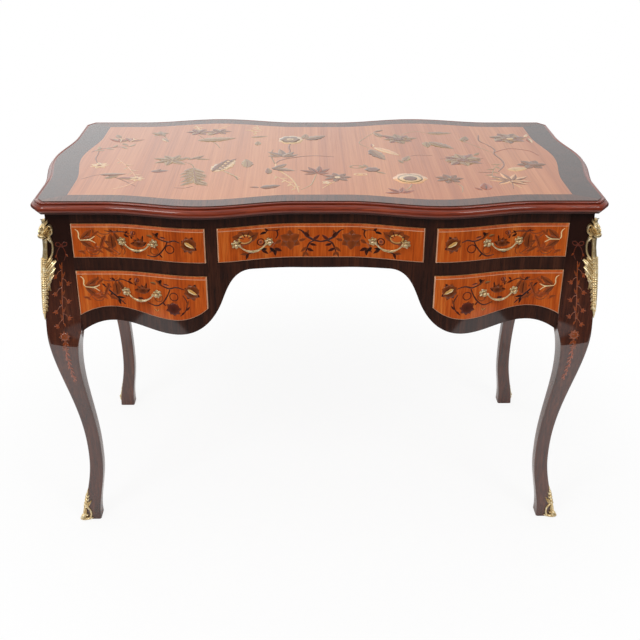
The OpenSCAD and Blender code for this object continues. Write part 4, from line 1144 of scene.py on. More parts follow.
# A stem: a strip along a smooth line, whose half width swells by sin(pi t)^0.6 and is thin at both ends
def stem(points, width, colour, count=None):
    count = count or 8 * len(points)
    line = throughPoints(points, count)
    half = width / 2 * (0.45 + 0.55 * np.sin(np.pi * np.linspace(0.08, 0.98, count)) ** 0.6)
    offsets = half[:, None] * np.array([-1.0, 0, 1.0])
    grid = line[:, None] + leftOf(line)[:, None] * offsets[..., None]
    return [dict(grid=grid, tint=blendTone(colour, colour, np.zeros(grid.shape[:2])), level="stem")]


# A leaf: its half width is width / 2 sin(pi t^0.8)^0.85 along a midrib that bends away as t^2, and its
# edge may be toothed. It is shaded towards the midrib, has a second tone on one half, and a long one
# has a vein.
def leaf(u, v, length, width, angle, colour, second=None, bend=0.15, teeth=0, level="leaf"):
    deep, vein = ("slate", "inkBrown") if colour in slateShaded else ("dark", "dark")
    t = np.linspace(0, 1, 25 if teeth else 13)
    across = np.linspace(-1, 1, 7)
    half = width / 2 * np.sin(np.pi * t ** 0.8) ** 0.85
    if teeth:
        half = half * (0.78 + 0.22 * np.abs(np.sin(np.pi * teeth * t)))
    x = length * t[:, None] + np.zeros_like(across)
    y = bend * length * (t * t)[:, None] + half[:, None] * across
    grid = placed(x, y, u, v, angle)
    middle = np.broadcast_to(np.clip(1 - np.abs(across) * 2.2, 0, 1), x.shape)
    tint = np.where((across < 0)[:, None], blendTone(colour, deep, 0.5 * middle),
                    blendTone(second or colour, deep, 0.3 * middle))
    shapes = [dict(grid=grid, tint=tint, level=level)]
    if length > 28 and colour not in plain:
        midrib = grid[2:-2:3, 3]
        shapes += [dict(s, level="eye") for s in stem(midrib, min(2.2, width * 0.1), vein, 14)]
    return shapes


# Leaves that spread from one point, each with its angle and length, and with the second tones in turn
def fan(u, v, width, rays, colour, *seconds, **more):
    shapes = []
    for k, (angle, length) in enumerate(rays):
        shapes += leaf(u, v, length, width, angle, colour, seconds[k % len(seconds)], **more)
    return shapes


# A disc or oval, as rings out to its rim. The rim may be waved by |cos(waves a / 2)|^0.8, and the tone
# goes from the core's in the middle to its own.
def disc(u, v, radius, colour, core=None, squash=1.0, angle=0, waves=0, wave=0.0, level="bloom", inner=0.0):
    r = np.linspace(inner, 1, 5)[:, None]
    a = np.linspace(0, 2 * np.pi, 33)
    rim = radius * (1 - wave + wave * np.abs(np.cos(waves * a / 2)) ** 0.8)
    grid = placed(r * rim * np.cos(a), r * rim * np.sin(a) * squash, u, v, angle)
    tint = blendTone(core or colour, colour, np.broadcast_to(r, grid.shape[:2]))
    return [dict(grid=grid, tint=tint, level=level)]


# A blossom: petals round a middle, every second one laid over its neighbours
def bloom(u, v, radius, petals, colour, second=None, eye="gold", fat=0.62, spin=0, squash=1.0, teeth=0,
          eyeSize=0.2):
    shapes = []
    for k in range(petals):
        shapes += leaf(0, 0, radius, radius * fat, 360 * k / petals + spin, colour, second, bend=0.05,
                       teeth=teeth, level="leaf" if k % 2 else "bloom")
    shapes = [dict(s, grid=s["grid"] * np.array([1, squash]) + np.array([u, v])) for s in shapes]
    return shapes + disc(u, v, radius * eyeSize, eye, squash=squash, level="eye")


# A ring: a disc whose middle is left out
def ring(u, v, radius, width, colour, squash=1.0, angle=0):
    return disc(u, v, radius, colour, squash=squash, angle=angle, inner=1 - width / radius, level="stem")


# A spray: a stem with leaves spread from start to its tip, leaning to its right and left in turn
def spray(points, width, colour, leaves, leafTone, second=None, size=(12, 5), lean=42, start=0.15):
    shapes = stem(points, width, colour)
    line = throughPoints(points, 60)
    for k in range(leaves):
        i = min(58, max(1, int(59 * (start + (0.98 - start) * k / max(1, leaves - 1)))))
        d = line[i + 1] - line[i - 1]
        side = 1 if k % 2 else -1
        angle = np.degrees(np.arctan2(d[1], d[0])) + lean * side
        shapes += leaf(*line[i], *size, angle, leafTone, second, bend=0.2 * side)
    return shapes


# A tulip on its side: three brown petals, cream veins between them
def tulip(u, v, size, angle, petal="brown", vein="cream"):
    shapes = []
    for off, long, wide in ((34, 1.0, 0.34), (2, 0.8, 0.3), (-30, 1.0, 0.34)):
        bend = 0.18 if off > 0 else -0.18
        shapes += leaf(u, v, size * long, size * wide, angle + off, petal, "rust", bend=bend)
    for off, bend in ((14, 0.2), (-13, -0.2)):
        a = np.radians(angle + off)
        tip = (u + 0.84 * size * np.cos(a), v + 0.84 * size * np.sin(a))
        mid = (u + 0.5 * size * np.cos(a - bend), v + 0.5 * size * np.sin(a - bend))
        shapes += [dict(s, level="eye") for s in stem([(u, v), mid, tip], 2.2, vein)]
    return shapes


# Shapes mirrored in the middle line: u becomes -u
def mirrored(shapes):
    return [dict(s, grid=s["grid"] * np.array([-1, 1])) for s in shapes]


# Side drawer: u runs from the outer end, v is the height above the top edge of the front
def sideDrawerInlay(lower):
    inlay = []
    inlay += stem([(9, -6), (15, -18), (14.5, -28), (17, -33)], 2.6, "cream")
    inlay += tulip(17, -34, 37, -6 if lower else 2)
    # rust leaves and curls between the tulip and the outer rosette
    drop = -3 if lower else 0
    inlay += leaf(86, -17 + drop, 37, 11, -70, "rust", "brown", teeth=2)
    inlay += leaf(69, -23 + drop, 34, 9, -122, "rust", "faint", teeth=2)
    inlay += leaf(64, -49 + drop, 23, 7, -38, "brown", "rust")
    inlay += leaf(56, -14 + drop, 20, 6, -150, "faint", "rust")
    inlay += leaf(38, -60, 18, 6, 12, "rust", "faint") + leaf(24, -60, 14, 5, 160, "rust")
    inlay += leaf(97, -38 + drop, 17, 6, -84, "faint", "brown")
    inlay += stem([(29, -57), (38, -65), (50, -64), (56, -55)], 1.6, "brown")
    inlay += stem([(74, -58), (84, -66), (95, -64), (98, -56)], 1.5, "rust")
    inlay += stem([(48, -12), (60, -20), (74, -20), (86, -12)], 1.8, "brown")
    inlay += ring(104, -47 + drop, 6, 1.5, "rust")
    inlay += leaf(44, -20, 13, 4, 78, "brown")
    inlay += spray([(12, -62), (26, -56), (40, -50), (60, -46)], 1.4, "faint", 5, "faint", size=(10, 5))
    inlay += leaf(30, -50, 22, 8, -28, "faint") + leaf(47, -48, 20, 7, -52, "faint")
    inlay += leaf(48, -56, 15, 5, 20, "rust")
    if lower:
        inlay += stem([(55, -29), (67, -43), (81, -57), (97, -73)], 3.6, "black")
        inlay += leaf(63, -26, 13, 4, -60, "dark") + leaf(70, -48, 14, 5, -100, "black")
        inlay += leaf(81, -56, 16, 5, -18, "black")
        inlay += leaf(84, -60, 15, 5, -85, "black") + leaf(58, -32, 8, 4, 130, "black")
        inlay += leaf(81, -53, 31, 18, 84, "brown", "rust", teeth=2)
        vine = [(69, -14), (79, -21), (93, -17), (107, -22), (118, -27)]
        loop = [(194, -31), (187, -47), (177, -62), (163, -71), (145, -66)]
        run = [(172, -22), (191, -29), (207, -25), (223, -29)]
        rings, flowerAt = ((201, -47), (169, -53)), (239, -34)
    else:
        inlay += stem([(51, -22), (63, -32), (73, -46), (85, -56), (95, -64)], 2.2, "brown")
        inlay += leaf(80, -52, 32, 19, 84, "brown", "rust", teeth=2) + leaf(66, -36, 14, 5, -20, "brown")
        inlay += leaf(74, -47, 13, 5, -100, "brown")
        inlay += stem([(99, -42), (104, -50), (106, -58), (102, -65)], 1.8, "brown")
        vine = [(67, -13), (83, -16), (105, -15), (118, -19)]
        loop = [(195, -30), (189, -42), (177, -57), (165, -64), (151, -62)]
        run = [(172, -22), (185, -27), (197, -29), (209, -26), (220, -30)]
        rings, flowerAt = ((199, -45), (167, -51)), (238, -34)
    inlay += stem(vine, 2.4, "dark")
    u, v = vine[1]
    inlay += leaf(u, v, 11, 4, 120, "dark") + leaf(u + 8, v, 10, 4, 60, "brown")
    inlay += leaf(106, -20, 12, 5, -40, "dark")
    inlay += leaf(108, -19, 10, 4, 40, "dark") + leaf(117, -22, 11, 4, -20, "brown")
    inlay += ring(125, -16, 5.6, 2.0, "plum") + leaf(121, -21, 12, 6, 60, "plum", "rose")
    # palmette above the bail
    inlay += fan(136, -41, 10, ((168, 18), (128, 15), (92, 15), (52, 17), (14, 18)), "dark", "brown")
    inlay += disc(136, -40, 10, "brown", "dark", squash=0.7, waves=6, wave=0.15)
    inlay += leaf(122, -30, 8, 3.5, 100, "dark") + leaf(143, -29, 9, 3.5, 70, "dark")
    inlay += leaf(124, -57, 13, 5, -8, "dark")
    # dark leaves by the inner rosette, the running vine and its loops
    inlay += leaf(176, -23, 16, 7, 128, "dark", "brown") + leaf(172, -20, 14, 6, 62, "black")
    inlay += leaf(180, -20, 13, 5, -20, "rose", "plum")
    inlay += leaf(165, -22, 13, 6, 160, "olive", "brown")
    inlay += stem(run, 3.2, "dark") + stem(loop, 3.0, "dark")
    inlay += ring(*rings[0], 9.6, 2.0, "dark")
    inlay += ring(*rings[1], 9.2, 1.8, "brown")
    inlay += leaf(*loop[2], 10, 3.6, -60, "dark")
    # leafy flower with a cream middle
    u, v = flowerAt
    rays = (12, 17), (55, 20), (98, 19), (140, 17), (185, 17), (228, 18), (275, 20), (318, 19)
    inlay += fan(u, v, 14, rays, "brown", "rust", "dark", teeth=3)
    inlay += disc(u, v, 15.5, "brown", "dark", waves=9, wave=0.16)
    inlay += leaf(u - 8, v + 6, 22, 8.5, -40, "cream", "gold", teeth=2, level="eye")
    if lower:
        inlay += stem([(220, -42), (228, -58), (224, -77), (212, -90)], 2.4, "dark")
        inlay += leaf(226, -66, 15, 4.5, 58, "brown")
        inlay += leaf(225, -76, 13, 4, 40, "dark") + leaf(222, -80, 12, 4, -140, "dark")
        rays = (0, 17), (48, 15), (92, 16), (140, 18), (188, 17), (232, 15), (268, 16), (315, 17)
        inlay += fan(199, -75, 12, rays, "plum", "brown", teeth=3)
        inlay += disc(199, -75, 13.5, "plum", "dark", waves=9, wave=0.14)
        inlay += leaf(163, -84, 8, 3, 50, "gold", "rust") + leaf(163, -84, 8, 3, 130, "gold", "rust")
    return inlay


# Centre drawer: u runs from the middle, and the right half mirrors the left
def centreDrawerInlay():
    half = []
    half += stem([(-41, -11), (-34, -19), (-27, -27), (-12, -35), (0, -38)], 4.8, "dark")
    half += stem([(-12, -35), (-22, -40), (-27, -49), (-31, -62)], 3.4, "dark")
    half += leaf(-30, -25, 15.3, 5.9, 60, "brown") + leaf(-24, -30, 15.3, 6.5, 110, "dark")
    half += leaf(-16, -34, 17.7, 6.5, 30, "plum")
    half += leaf(-22, -42, 14.2, 5.9, -25, "dark") + leaf(-28, -52, 15.3, 6.5, -35, "dark")
    half += leaf(-28, -50, 16.5, 6.5, -150, "brown")
    half += leaf(-31, -60, 11.8, 5.9, -65, "brown") + leaf(-31, -60, 13, 5.9, -125, "brown")
    half += leaf(-38, -14, 10.6, 4.5, 140, "dark")
    half += bloom(-62, -34, 22, 6, "brown", "rust", eye="rust", fat=0.78, spin=30, eyeSize=0.16)
    half += disc(-62, -34, 15, "brown", "rust", waves=6, wave=0.3, level="leaf")
    half += leaf(-80, -34, 14.2, 7.8, 200, "brown") + leaf(-44, -35, 14.2, 6.5, 5, "brown")
    half += stem([(-84, -35), (-94, -41), (-98, -50), (-92, -58)], 1.8, "rose")
    half += stem([(-112, -18), (-107, -9), (-97, -8), (-89, -13), (-87, -22), (-91, -30)], 3.0, "dark")
    half += leaf(-108, -12, 15.3, 6.5, 95, "dark") + leaf(-109, -14, 14.2, 5.9, 190, "black")
    half += leaf(-90, -12, 9.4, 5.2, 30, "dark")
    half += leaf(-92, -50, 17.7, 7.8, -100, "dark") + leaf(-92, -50, 15.3, 7.2, -40, "dark")
    half += leaf(-93, -51, 14.2, 6.5, -150, "brown")
    half += ring(-121, -35, 8, 2.2, "dark") + disc(-121, -35, 4, "rose", "plum")
    half += stem([(-113, -38), (-117, -46), (-128, -52), (-146, -58), (-156, -60)], 2.8, "dark")
    half += leaf(-120, -49, 18.9, 6.5, -52, "dark") + leaf(-122, -50, 14.2, 5.9, -12, "black")
    half += leaf(-146, -57, 14.2, 5.9, -120, "dark")
    half += leaf(-148, -58, 14.2, 5.2, -190, "brown") + leaf(-103, -48, 16.5, 6.5, -55, "black")
    half += fan(-150, -27, 19.5, [(a, 28.3) for a in (20, 65, 110, 155, 200)], "brown", "rust")
    half += disc(-152, -26, 15.5, "brown", "brown", squash=0.8, level="leaf")
    half += disc(-152, -26, 13.5, "gold", "gold", squash=0.72)
    half += disc(-151.5, -26, 10.8, "honey", "honey", squash=0.68, level="eye")
    return half + mirrored(half)


# A side panel: a rose in the middle and three sprays each way
def sideInlay():
    half = spray([(8, -96), (30, -84), (58, -92), (88, -78), (116, -84)], 3.2, "dark", 8, "brown", "dark",
                 size=(17, 6.5))
    half += spray([(8, -106), (34, -124), (62, -118), (90, -130), (108, -122)], 2.8, "dark", 6, "dark",
                  "brown", size=(15, 6))
    half += spray([(6, -80), (20, -58), (46, -50), (74, -60), (98, -46)], 2.8, "dark", 7, "brown", "rust",
                  size=(16, 6.5))
    half += bloom(124, -86, 17, 6, "rust", "brown", eye="gold", fat=0.7)
    half += disc(124, -86, 8, "rust", "brown", waves=6, wave=0.2)
    half += bloom(104, -42, 14, 6, "plum", "brown", eye="gold", fat=0.7)
    half += bloom(60, -122, 15, 5, "brown", "rust", eye="cream", fat=0.7)
    half += ring(44, -72, 8, 2, "dark") + ring(78, -104, 7, 2, "brown") + tulip(110, -122, 26, -8)
    half += bloom(46, -34, 11, 5, "cream", "gold", eye="rust")
    half += stem([(20, -58), (30, -44), (46, -36)], 2, "dark")
    both = half + mirrored(half)
    both += spray([(0, -118), (3, -138), (-3, -156), (0, -172)], 2.8, "dark", 6, "brown", "dark",
                  size=(15, 6))
    both += bloom(0, -94, 34, 8, "rust", "brown", fat=0.6, teeth=2)
    both += bloom(0, -94, 24, 7, "brown", "dark", spin=22, fat=0.6)
    both += disc(0, -94, 12, "brown", "dark", waves=8, wave=0.2)
    return both + bloom(0, -94, 11, 6, "cream", "gold", eye="rust")


# The top, in the plan of the desk: scattered sprays over the whole field
def topInlay():
    inlay = []
    # tulip group, back left
    inlay += spray([(-515, 40), (-500, 62), (-470, 78), (-432, 84)], 4, "inkBrown", 6, "grey", "sage",
                   size=(24, 9))
    inlay += tulip(-462, 118, 44, 92, "olive", "ivory") + tulip(-440, 122, 36, 70, "grey", "ivory")
    inlay += leaf(-470, 150, 34, 14, 100, "olive", "grey") + leaf(-455, 110, 26, 10, -60, "olive")
    inlay += bloom(-378, 188, 22, 5, "grey", "olive", eye="slate", spin=20)
    inlay += leaf(-366, 150, 34, 14, -70, "ivory", "grey", teeth=3)
    inlay += stem([(-400, 205), (-380, 190), (-362, 160), (-355, 120)], 2.6, "olive")
    # big blossom and leaf, back
    inlay += bloom(-286, 204, 32, 6, "grey", "mulberry", eye="slate", squash=0.9, teeth=2)
    inlay += leaf(-262, 176, 56, 26, 62, "olive", "sage", teeth=4)
    inlay += spray([(-300, 262), (-292, 240), (-286, 216)], 3, "ivory", 5, "straw", size=(16, 5))
    inlay += leaf(-284, 135, 92, 38, 3, "olive", "sage", teeth=6)
    inlay += bloom(-238, 208, 30, 6, "grey", "mulberry", eye="slate", squash=0.9, teeth=2)
    inlay += disc(-286, 204, 22, "grey", "mulberry", squash=0.8, waves=5, wave=0.2, level="stem")
    inlay += stem([(-216, 262), (-232, 244), (-246, 222)], 2.6, "straw")
    inlay += stem([(-286, 180), (-270, 150), (-240, 110), (-226, 70)], 2.6, "olive")
    inlay += spray([(-150, 262), (-146, 236), (-160, 214), (-148, 196)], 3, "straw", 5, "straw",
                   size=(20, 6))
    inlay += leaf(-160, 160, 42, 13, 4, "sage", "olive") + leaf(-142, 92, 34, 15, 80, "sage", "olive")
    # ring-centred blossom with its stem
    inlay += disc(-64, 137, 30, "ivory", "ivory", squash=1.15, waves=9, wave=0.14, level="leaf")
    inlay += disc(-66, 140, 24, "slate", "grey", squash=1.1, waves=6, wave=0.18)
    inlay += disc(-66, 142, 8, "ivory", "grey", level="eye")
    inlay += leaf(-30, 140, 58, 34, 26, "slate", "grey", teeth=4)
    inlay += leaf(-34, 146, 40, 20, 74, "grey", "olive", teeth=3)
    inlay += stem([(-64, 112), (-68, 80), (-66, 40), (-84, 6)], 4, "inkBrown")
    inlay += fan(-84, 6, 18, ((118, 46), (82, 56), (38, 44), (8, 40), (160, 30)), "slate", "grey", bend=0.25)
    inlay += stem([(-96, -44), (-84, -20), (-50, 2), (-10, 12), (34, 4)], 4.4, "inkBrown")
    inlay += stem([(-98, -46), (-108, 20), (-104, 60)], 3.4, "olive")
    inlay += stem([(-96, -44), (-92, -80), (-78, -110), (-60, -150), (-48, -200), (-44, -236)], 4, "straw")
    inlay += leaf(-104, -74, 56, 24, -32, "slate", "grey", teeth=3)
    inlay += leaf(-98, -78, 40, 18, 40, "grey", "slate") + leaf(-110, -118, 42, 15, 84, "olive", "inkBrown")
    inlay += leaf(-124, -206, 44, 26, 10, "inkBrown", "slate", teeth=2)
    inlay += leaf(-126, -206, 20, 10, 160, "inkBrown")
    inlay += spray([(-100, -124), (-80, -150), (-62, -180), (-50, -212)], 2.4, "straw", 7, "straw",
                   size=(17, 5))
    # middle left: leaf cluster, bud, long leaves
    rays = (20, 44), (62, 42), (110, 40), (152, 44), (200, 40), (250, 38), (310, 44)
    inlay += fan(-326, -22, 20, rays, "sage", "olive", teeth=3)
    inlay += leaf(-286, -14, 40, 14, 36, "slate", "olive") + leaf(-276, -8, 34, 11, -20, "olive")
    inlay += leaf(-284, -18, 26, 10, 120, "olive")
    inlay += leaf(-362, -98, 38, 19, -4, "mulberry", "slate") + leaf(-352, -98, 20, 8, 50, "inkBrown")
    inlay += leaf(-272, -74, 118, 30, -84, "sage", "olive", bend=0.05, teeth=7)
    for k in range(12):
        side = 1 if k % 2 else -1
        inlay += leaf(-272 + k, -76 - 8.5 * k, 38 - 6 * np.cos(k), 15, -86 + (34 + 3 * (k % 3)) * side,
                      "olive" if k % 3 else "grey", "sage", bend=0.12 * side, teeth=2)
    inlay += stem([(-262, -196), (-278, -208), (-300, -206)], 3, "inkBrown")
    inlay += stem([(-272, -74), (-280, -50), (-300, -30)], 3, "olive")
    inlay += leaf(-228, -102, 94, 46, 66, "ivory", "straw", bend=-0.04, teeth=5)
    inlay += leaf(-230, -102, 92, 15, 80, "slate", "inkBrown", bend=-0.14, teeth=6, level="bloom")
    for k in range(5):
        inlay += leaf(-223 + 6 * k, -86 + 15 * k, 22, 7, 10 + 6 * k, "slate", "inkBrown", bend=0.2,
                      level="bloom")
        inlay += leaf(-213 + 5 * k, -92 + 15 * k, 18, 6, 112, "inkBrown", level="bloom")
    inlay += stem([(-212, -88), (-196, -110), (-180, -132), (-172, -156)], 5, "olive")
    inlay += stem([(-210, -92), (-190, -118), (-168, -142)], 2.4, "straw")
    inlay += leaf(-158, -74, 62, 28, 86, "grey", "sage", teeth=4)
    # left: small cream flower and its stem, cream star, grey leaf
    inlay += stem([(-500, 62), (-497, 20), (-496, -8), (-484, -48)], 3, "inkBrown")
    inlay += bloom(-479, -57, 22, 7, "ivory", "straw", eye="rust", fat=0.5)
    inlay += bloom(-384, -148, 17, 7, "ivory", "straw", eye="rust", fat=0.5)
    inlay += leaf(-466, -120, 56, 20, -4, "inkBrown", "grey", teeth=3)
    inlay += leaf(-424, -142, 48, 18, -12, "grey", "rust", teeth=3)
    inlay += stem([(-500, -150), (-470, -122), (-440, -132), (-410, -160), (-380, -196)], 3, "inkBrown")
    inlay += leaf(-452, -146, 34, 16, 30, "sage", "olive", teeth=2)
    inlay += stem([(-424, -214), (-402, -196), (-384, -166)], 3, "peach")
    inlay += spray([(-448, -8), (-420, -60), (-400, -104), (-388, -136)], 2.4, "peach", 7, "sage", "peach",
                   size=(18, 6))
    # middle: brown fan, dark star, small ring leaf, round flower
    rays = (40, 42), (74, 50), (106, 46), (142, 42), (-10, 26), (190, 28)
    inlay += fan(-6, -112, 15, rays, "rust", "inkBrown")
    inlay += bloom(37, -140, 31, 7, "slate", "inkBrown", eye="ivory", fat=0.55, teeth=2)
    inlay += bloom(13, -174, 11, 5, "ivory", eye="straw")
    inlay += stem([(-6, -112), (10, -128), (30, -140)], 3, "inkBrown")
    inlay += stem([(37, -160), (20, -182), (4, -210)], 2.4, "straw")
    inlay += stem([(-40, -220), (-20, -190), (-12, -150), (-6, -112)], 3, "sage")
    inlay += ring(82, -68, 17, 5, "olive", squash=0.7) + leaf(84, -70, 22, 9, 20, "sage")
    inlay += disc(114, -88, 17, "slate", "mulberry", waves=6, wave=0.2)
    inlay += leaf(104, -74, 24, 9, 100, "grey") + leaf(122, -100, 26, 9, -50, "olive")
    inlay += ring(87, -120, 15, 4, "straw", squash=0.6) + disc(87, -120, 6, "straw", squash=0.7)
    # ring-centred flower on its pale ground, front right of the middle
    inlay += disc(190, -148, 37, "peach", "ivory", waves=6, wave=0.14, level="stem")
    inlay += disc(190, -148, 27, "olive", "olive", level="leaf")
    inlay += disc(190, -148, 23, "ivory", "straw", level="bloom")
    inlay += disc(190, -148, 15, "slate", "mulberry", level="eye")
    inlay += stem([(190, -186), (182, -210), (168, -232)], 3, "sage")
    inlay += bloom(272, -151, 31, 7, "slate", "inkBrown", eye="inkBrown", fat=0.6, teeth=2)
    inlay += bloom(272, -151, 18, 5, "inkBrown", "slate", eye="sage", spin=20)
    inlay += stem([(280, -176), (292, -200), (288, -236)], 2.6, "sage")
    inlay += fan(162, -240, 14, ((20, 34), (70, 36), (120, 38), (170, 32)), "rose", "rust")
    inlay += leaf(338, -222, 44, 26, 76, "rose", "rust") + leaf(330, -224, 22, 9, 120, "rust")
    # right: pink lined flower, yellow leaf, dark flower, big blossoms and their stems
    rays = (30, 52), (62, 50), (96, 56), (132, 56), (166, 44), (210, 34), (-10, 44), (-40, 40)
    inlay += fan(398, -166, 15, rays, "inkBrown", "peach", bend=0.1)
    inlay += stem([(368, -140), (392, -168), (414, -210)], 3, "straw")
    inlay += stem([(388, -130), (400, -168), (396, -214)], 2.4, "inkBrown")
    inlay += leaf(406, -90, 48, 26, 6, "straw", "straw")
    inlay += bloom(466, -54, 33, 6, "slate", "inkBrown", eye="inkBrown", fat=0.72, teeth=2)
    inlay += disc(466, -54, 24, "slate", "inkBrown", squash=0.9, waves=6, wave=0.2, level="stem")
    inlay += stem([(392, 100), (404, 60), (398, 24), (406, -20), (404, -60), (384, -104)], 4.4, "inkBrown")
    inlay += stem([(400, 36), (424, 58), (446, 66), (482, 48), (496, 14)], 4, "rust")
    inlay += stem([(340, -106), (356, -108), (378, -106)], 4, "inkBrown")
    inlay += spray([(404, -40), (384, -70), (372, -104), (364, -142)], 2.4, "sage", 6, "sage", "olive",
                   size=(18, 6))
    rays = (10, 44), (50, 50), (95, 46), (138, 44), (180, 42), (222, 48), (268, 44), (315, 46)
    inlay += fan(320, -20, 26, rays, "grey", "sage", "mulberry", teeth=4)
    inlay += disc(320, -22, 40, "grey", "mulberry", squash=0.9, waves=9, wave=0.2, level="stem")
    inlay += disc(320, -20, 14, "inkBrown", "mulberry", waves=8, wave=0.2)
    inlay += leaf(350, 12, 28, 10, 50, "olive")
    for a in 0.9 * np.arange(7):
        near = (320 + 30 * np.cos(a), -20 + 26 * np.sin(a))
        far = (320 + 50 * np.cos(a + 0.3), -20 + 44 * np.sin(a + 0.3))
        inlay += stem([(320, -20), near, far], 2.2, "inkBrown")
    rays = [(a, 44) for a in (0, 52, 104, 156, 208, 260, 312)]
    inlay += fan(452, 150, 32, rays, "grey", "mulberry", "slate", teeth=3)
    inlay += disc(452, 150, 38, "grey", "sage", squash=0.9, waves=7, wave=0.2, level="stem")
    inlay += disc(452, 150, 18, "grey", "mulberry", waves=7, wave=0.2)
    inlay += disc(456, 146, 8, "straw", "straw", level="eye")
    inlay += stem([(386, 176), (380, 130), (392, 100)], 4, "inkBrown")
    inlay += leaf(500, 150, 40, 14, -96, "rust", "ivory") + leaf(494, 160, 26, 9, 60, "ivory")
    inlay += leaf(340, 124, 44, 20, 64, "grey", "olive") + leaf(346, 118, 26, 10, 110, "sage")
    inlay += stem([(346, 120), (360, 96), (380, 60), (398, 30)], 2.6, "sage")
    inlay += leaf(262, 122, 76, 34, -58, "olive", "grey", teeth=5)
    inlay += leaf(254, 120, 46, 20, -100, "sage", "olive")
    inlay += leaf(262, 196, 62, 26, -10, "sage", "grey", teeth=3)
    inlay += stem([(262, 196), (240, 208), (216, 196), (196, 168)], 2.6, "sage")
    rays = (5, 48), (45, 40), (88, 44), (130, 52), (175, 34), (225, 36), (275, 40), (320, 36)
    inlay += fan(190, 142, 24, rays, "grey", "olive", "mulberry", teeth=3)
    inlay += disc(192, 142, 32, "grey", "sage", squash=0.9, waves=8, wave=0.25, level="stem")
    inlay += disc(190, 142, 12, "slate", "mulberry", level="eye")
    inlay += leaf(150, 158, 44, 18, 100, "olive", "grey") + leaf(136, 204, 30, 12, 30, "inkBrown", "grey")
    inlay += leaf(120, 60, 84, 32, -78, "slate", "grey", bend=0.12, teeth=4)
    inlay += leaf(128, 76, 84, 22, -44, "ivory", "peach", bend=-0.1)
    inlay += leaf(124, 80, 26, 10, 80, "ivory", "rose")
    inlay += leaf(186, -30, 44, 20, 60, "sage", "grey", teeth=3) + leaf(184, -44, 26, 9, 100, "olive")
    inlay += stem([(206, 10), (226, 16), (256, 14)], 3, "inkBrown")
    inlay += stem([(116, 70), (96, 110), (110, 150), (136, 200)], 2.6, "sage")
    return inlay


# The trail of a leg's spray: how far its line lies from the corner, u, at heights v above the floor
legTrail = dict(v=(372, 400, 430, 464, 492, 530, 600, 650, 684), u=(25, 27, 29, 33, 36, 37, 35, 33, 31))


# A leg's spray: a bow, a hanging leafy stem, a round flower and a fading trail. u runs from the
# corner along the face, v is the height above the floor.
def legInlay():
    inlay = []

    def mid(v):
        return float(np.interp(v, legTrail["v"], legTrail["u"]))

    def run(top, foot, width, colour, count):
        return stem([(mid(v), v) for v in np.linspace(top, foot, count)], width, colour)

    for k in (-1, 1):
        inlay += ring(31 + k * 6.5, 695, 6.2, 2.2, "wine", squash=0.8, angle=k * 24)
        inlay += stem([(31, 692), (31 + k * 6, 684), (31 + k * 9, 672), (31 + k * 6, 660)], 1.8, "wine")
        inlay += leaf(31 + k * 9, 674, 8, 3.6, -90 + k * 30, "wine", "rust")
    inlay += disc(31, 692, 3.2, "wine", "plum", level="eye")
    inlay += run(656, 520, 2.2, "rust", 9)
    for k, z in enumerate((640, 622, 602, 582, 562, 544, 530)):
        side = 1 if k % 2 else -1
        u, v = mid(z) + side * 12, z - 15
        inlay += stem([(mid(z), z), (mid(z) + side * 7, z - 5), (u, v)], 1.3, "rust")
        for lean, long in ((134, 8), (90, 10), (46, 7), (170, 6)):
            inlay += leaf(u - side * 1.5, v + 2, long, 3.2, 90 - side * lean, "rust", "faint")
        inlay += leaf(mid(z), z + 1, 14, 3.6, 90 - side * 34, "rust", "brown", bend=side * 0.2)
        inlay += leaf(mid(z), z - 8, 10, 3.0, 90 + side * 148, "rust", bend=side * 0.15)
    inlay += bloom(36, 492, 12, 8, "rust", "brown", eye="brown", fat=0.6)
    inlay += disc(36, 492, 8, "rust", "brown", waves=8, wave=0.2)
    inlay += leaf(35, 480, 12, 6, -58, "rust") + leaf(35, 480, 12, 6, -122, "rust")
    inlay += bloom(33, 464, 8, 5, "rust", "brown", eye="faint", fat=0.6)
    inlay += run(482, 374, 1.8, "faint", 8)
    for k, z in enumerate((456, 444, 432, 420, 408, 396, 386)):
        side = 1 if k % 2 else -1
        inlay += leaf(mid(z), z, 13 - k * 0.6, 3.6, 90 + side * 146, "rose", "faint", bend=side * 0.15)
        inlay += leaf(mid(z), z - 4, 10 - k * 0.4, 3, 90 - side * 144, "faint")
    return inlay


# Inlaid veneers: each shape's own tint, darkened or lit by streaks that are long along the grain
def inlayMaterial(name, grain, coat, rough, coatIor=1.5, dim=None):
    material, w = newMaterial(name)
    at = w.node("ShaderNodeTexCoord", {}, {}, out=3)
    tint = w.node("ShaderNodeVertexColor", {"layer_name": "tint"}, {})
    streak = at.noise(grain, detail=4.0, rough=0.6)
    broad = at.noise(tuple(g * 0.12 for g in grain), detail=2.0)
    lights = (0.25, 0.22, 0.2, 1), (1.0, 1.0, 1.0, 1), (1.25, 1.2, 1.1, 1)
    streaks = (streak * 0.7 + broad * 0.5).ramp(*zip((0.3, 0.62, 0.8), lights))
    colour = w.mix(0.45, tint, streaks, "MULTIPLY")
    normal = w.node("ShaderNodeBump", {}, {"Strength": 0.05, "Distance": 0.0004, "Height": streak})
    if dim:
        coat = paintedShadeAndThinCoat(at.axis(dim["axis"]), coat, dim)[1]
    closeMaterial(w, {"Coat Roughness": 0.06, "Coat IOR": coatIor, "Specular IOR Level": 0.15},
                  {"Base Color": colour, "Roughness": rough + 0.1 * streak, "Coat Weight": coat,
                   "Normal": normal})
    return material


inlayThick = 0.3
layers = dict(step=0.0024, count=23)  # shapes of a level stand a little higher each, in turns


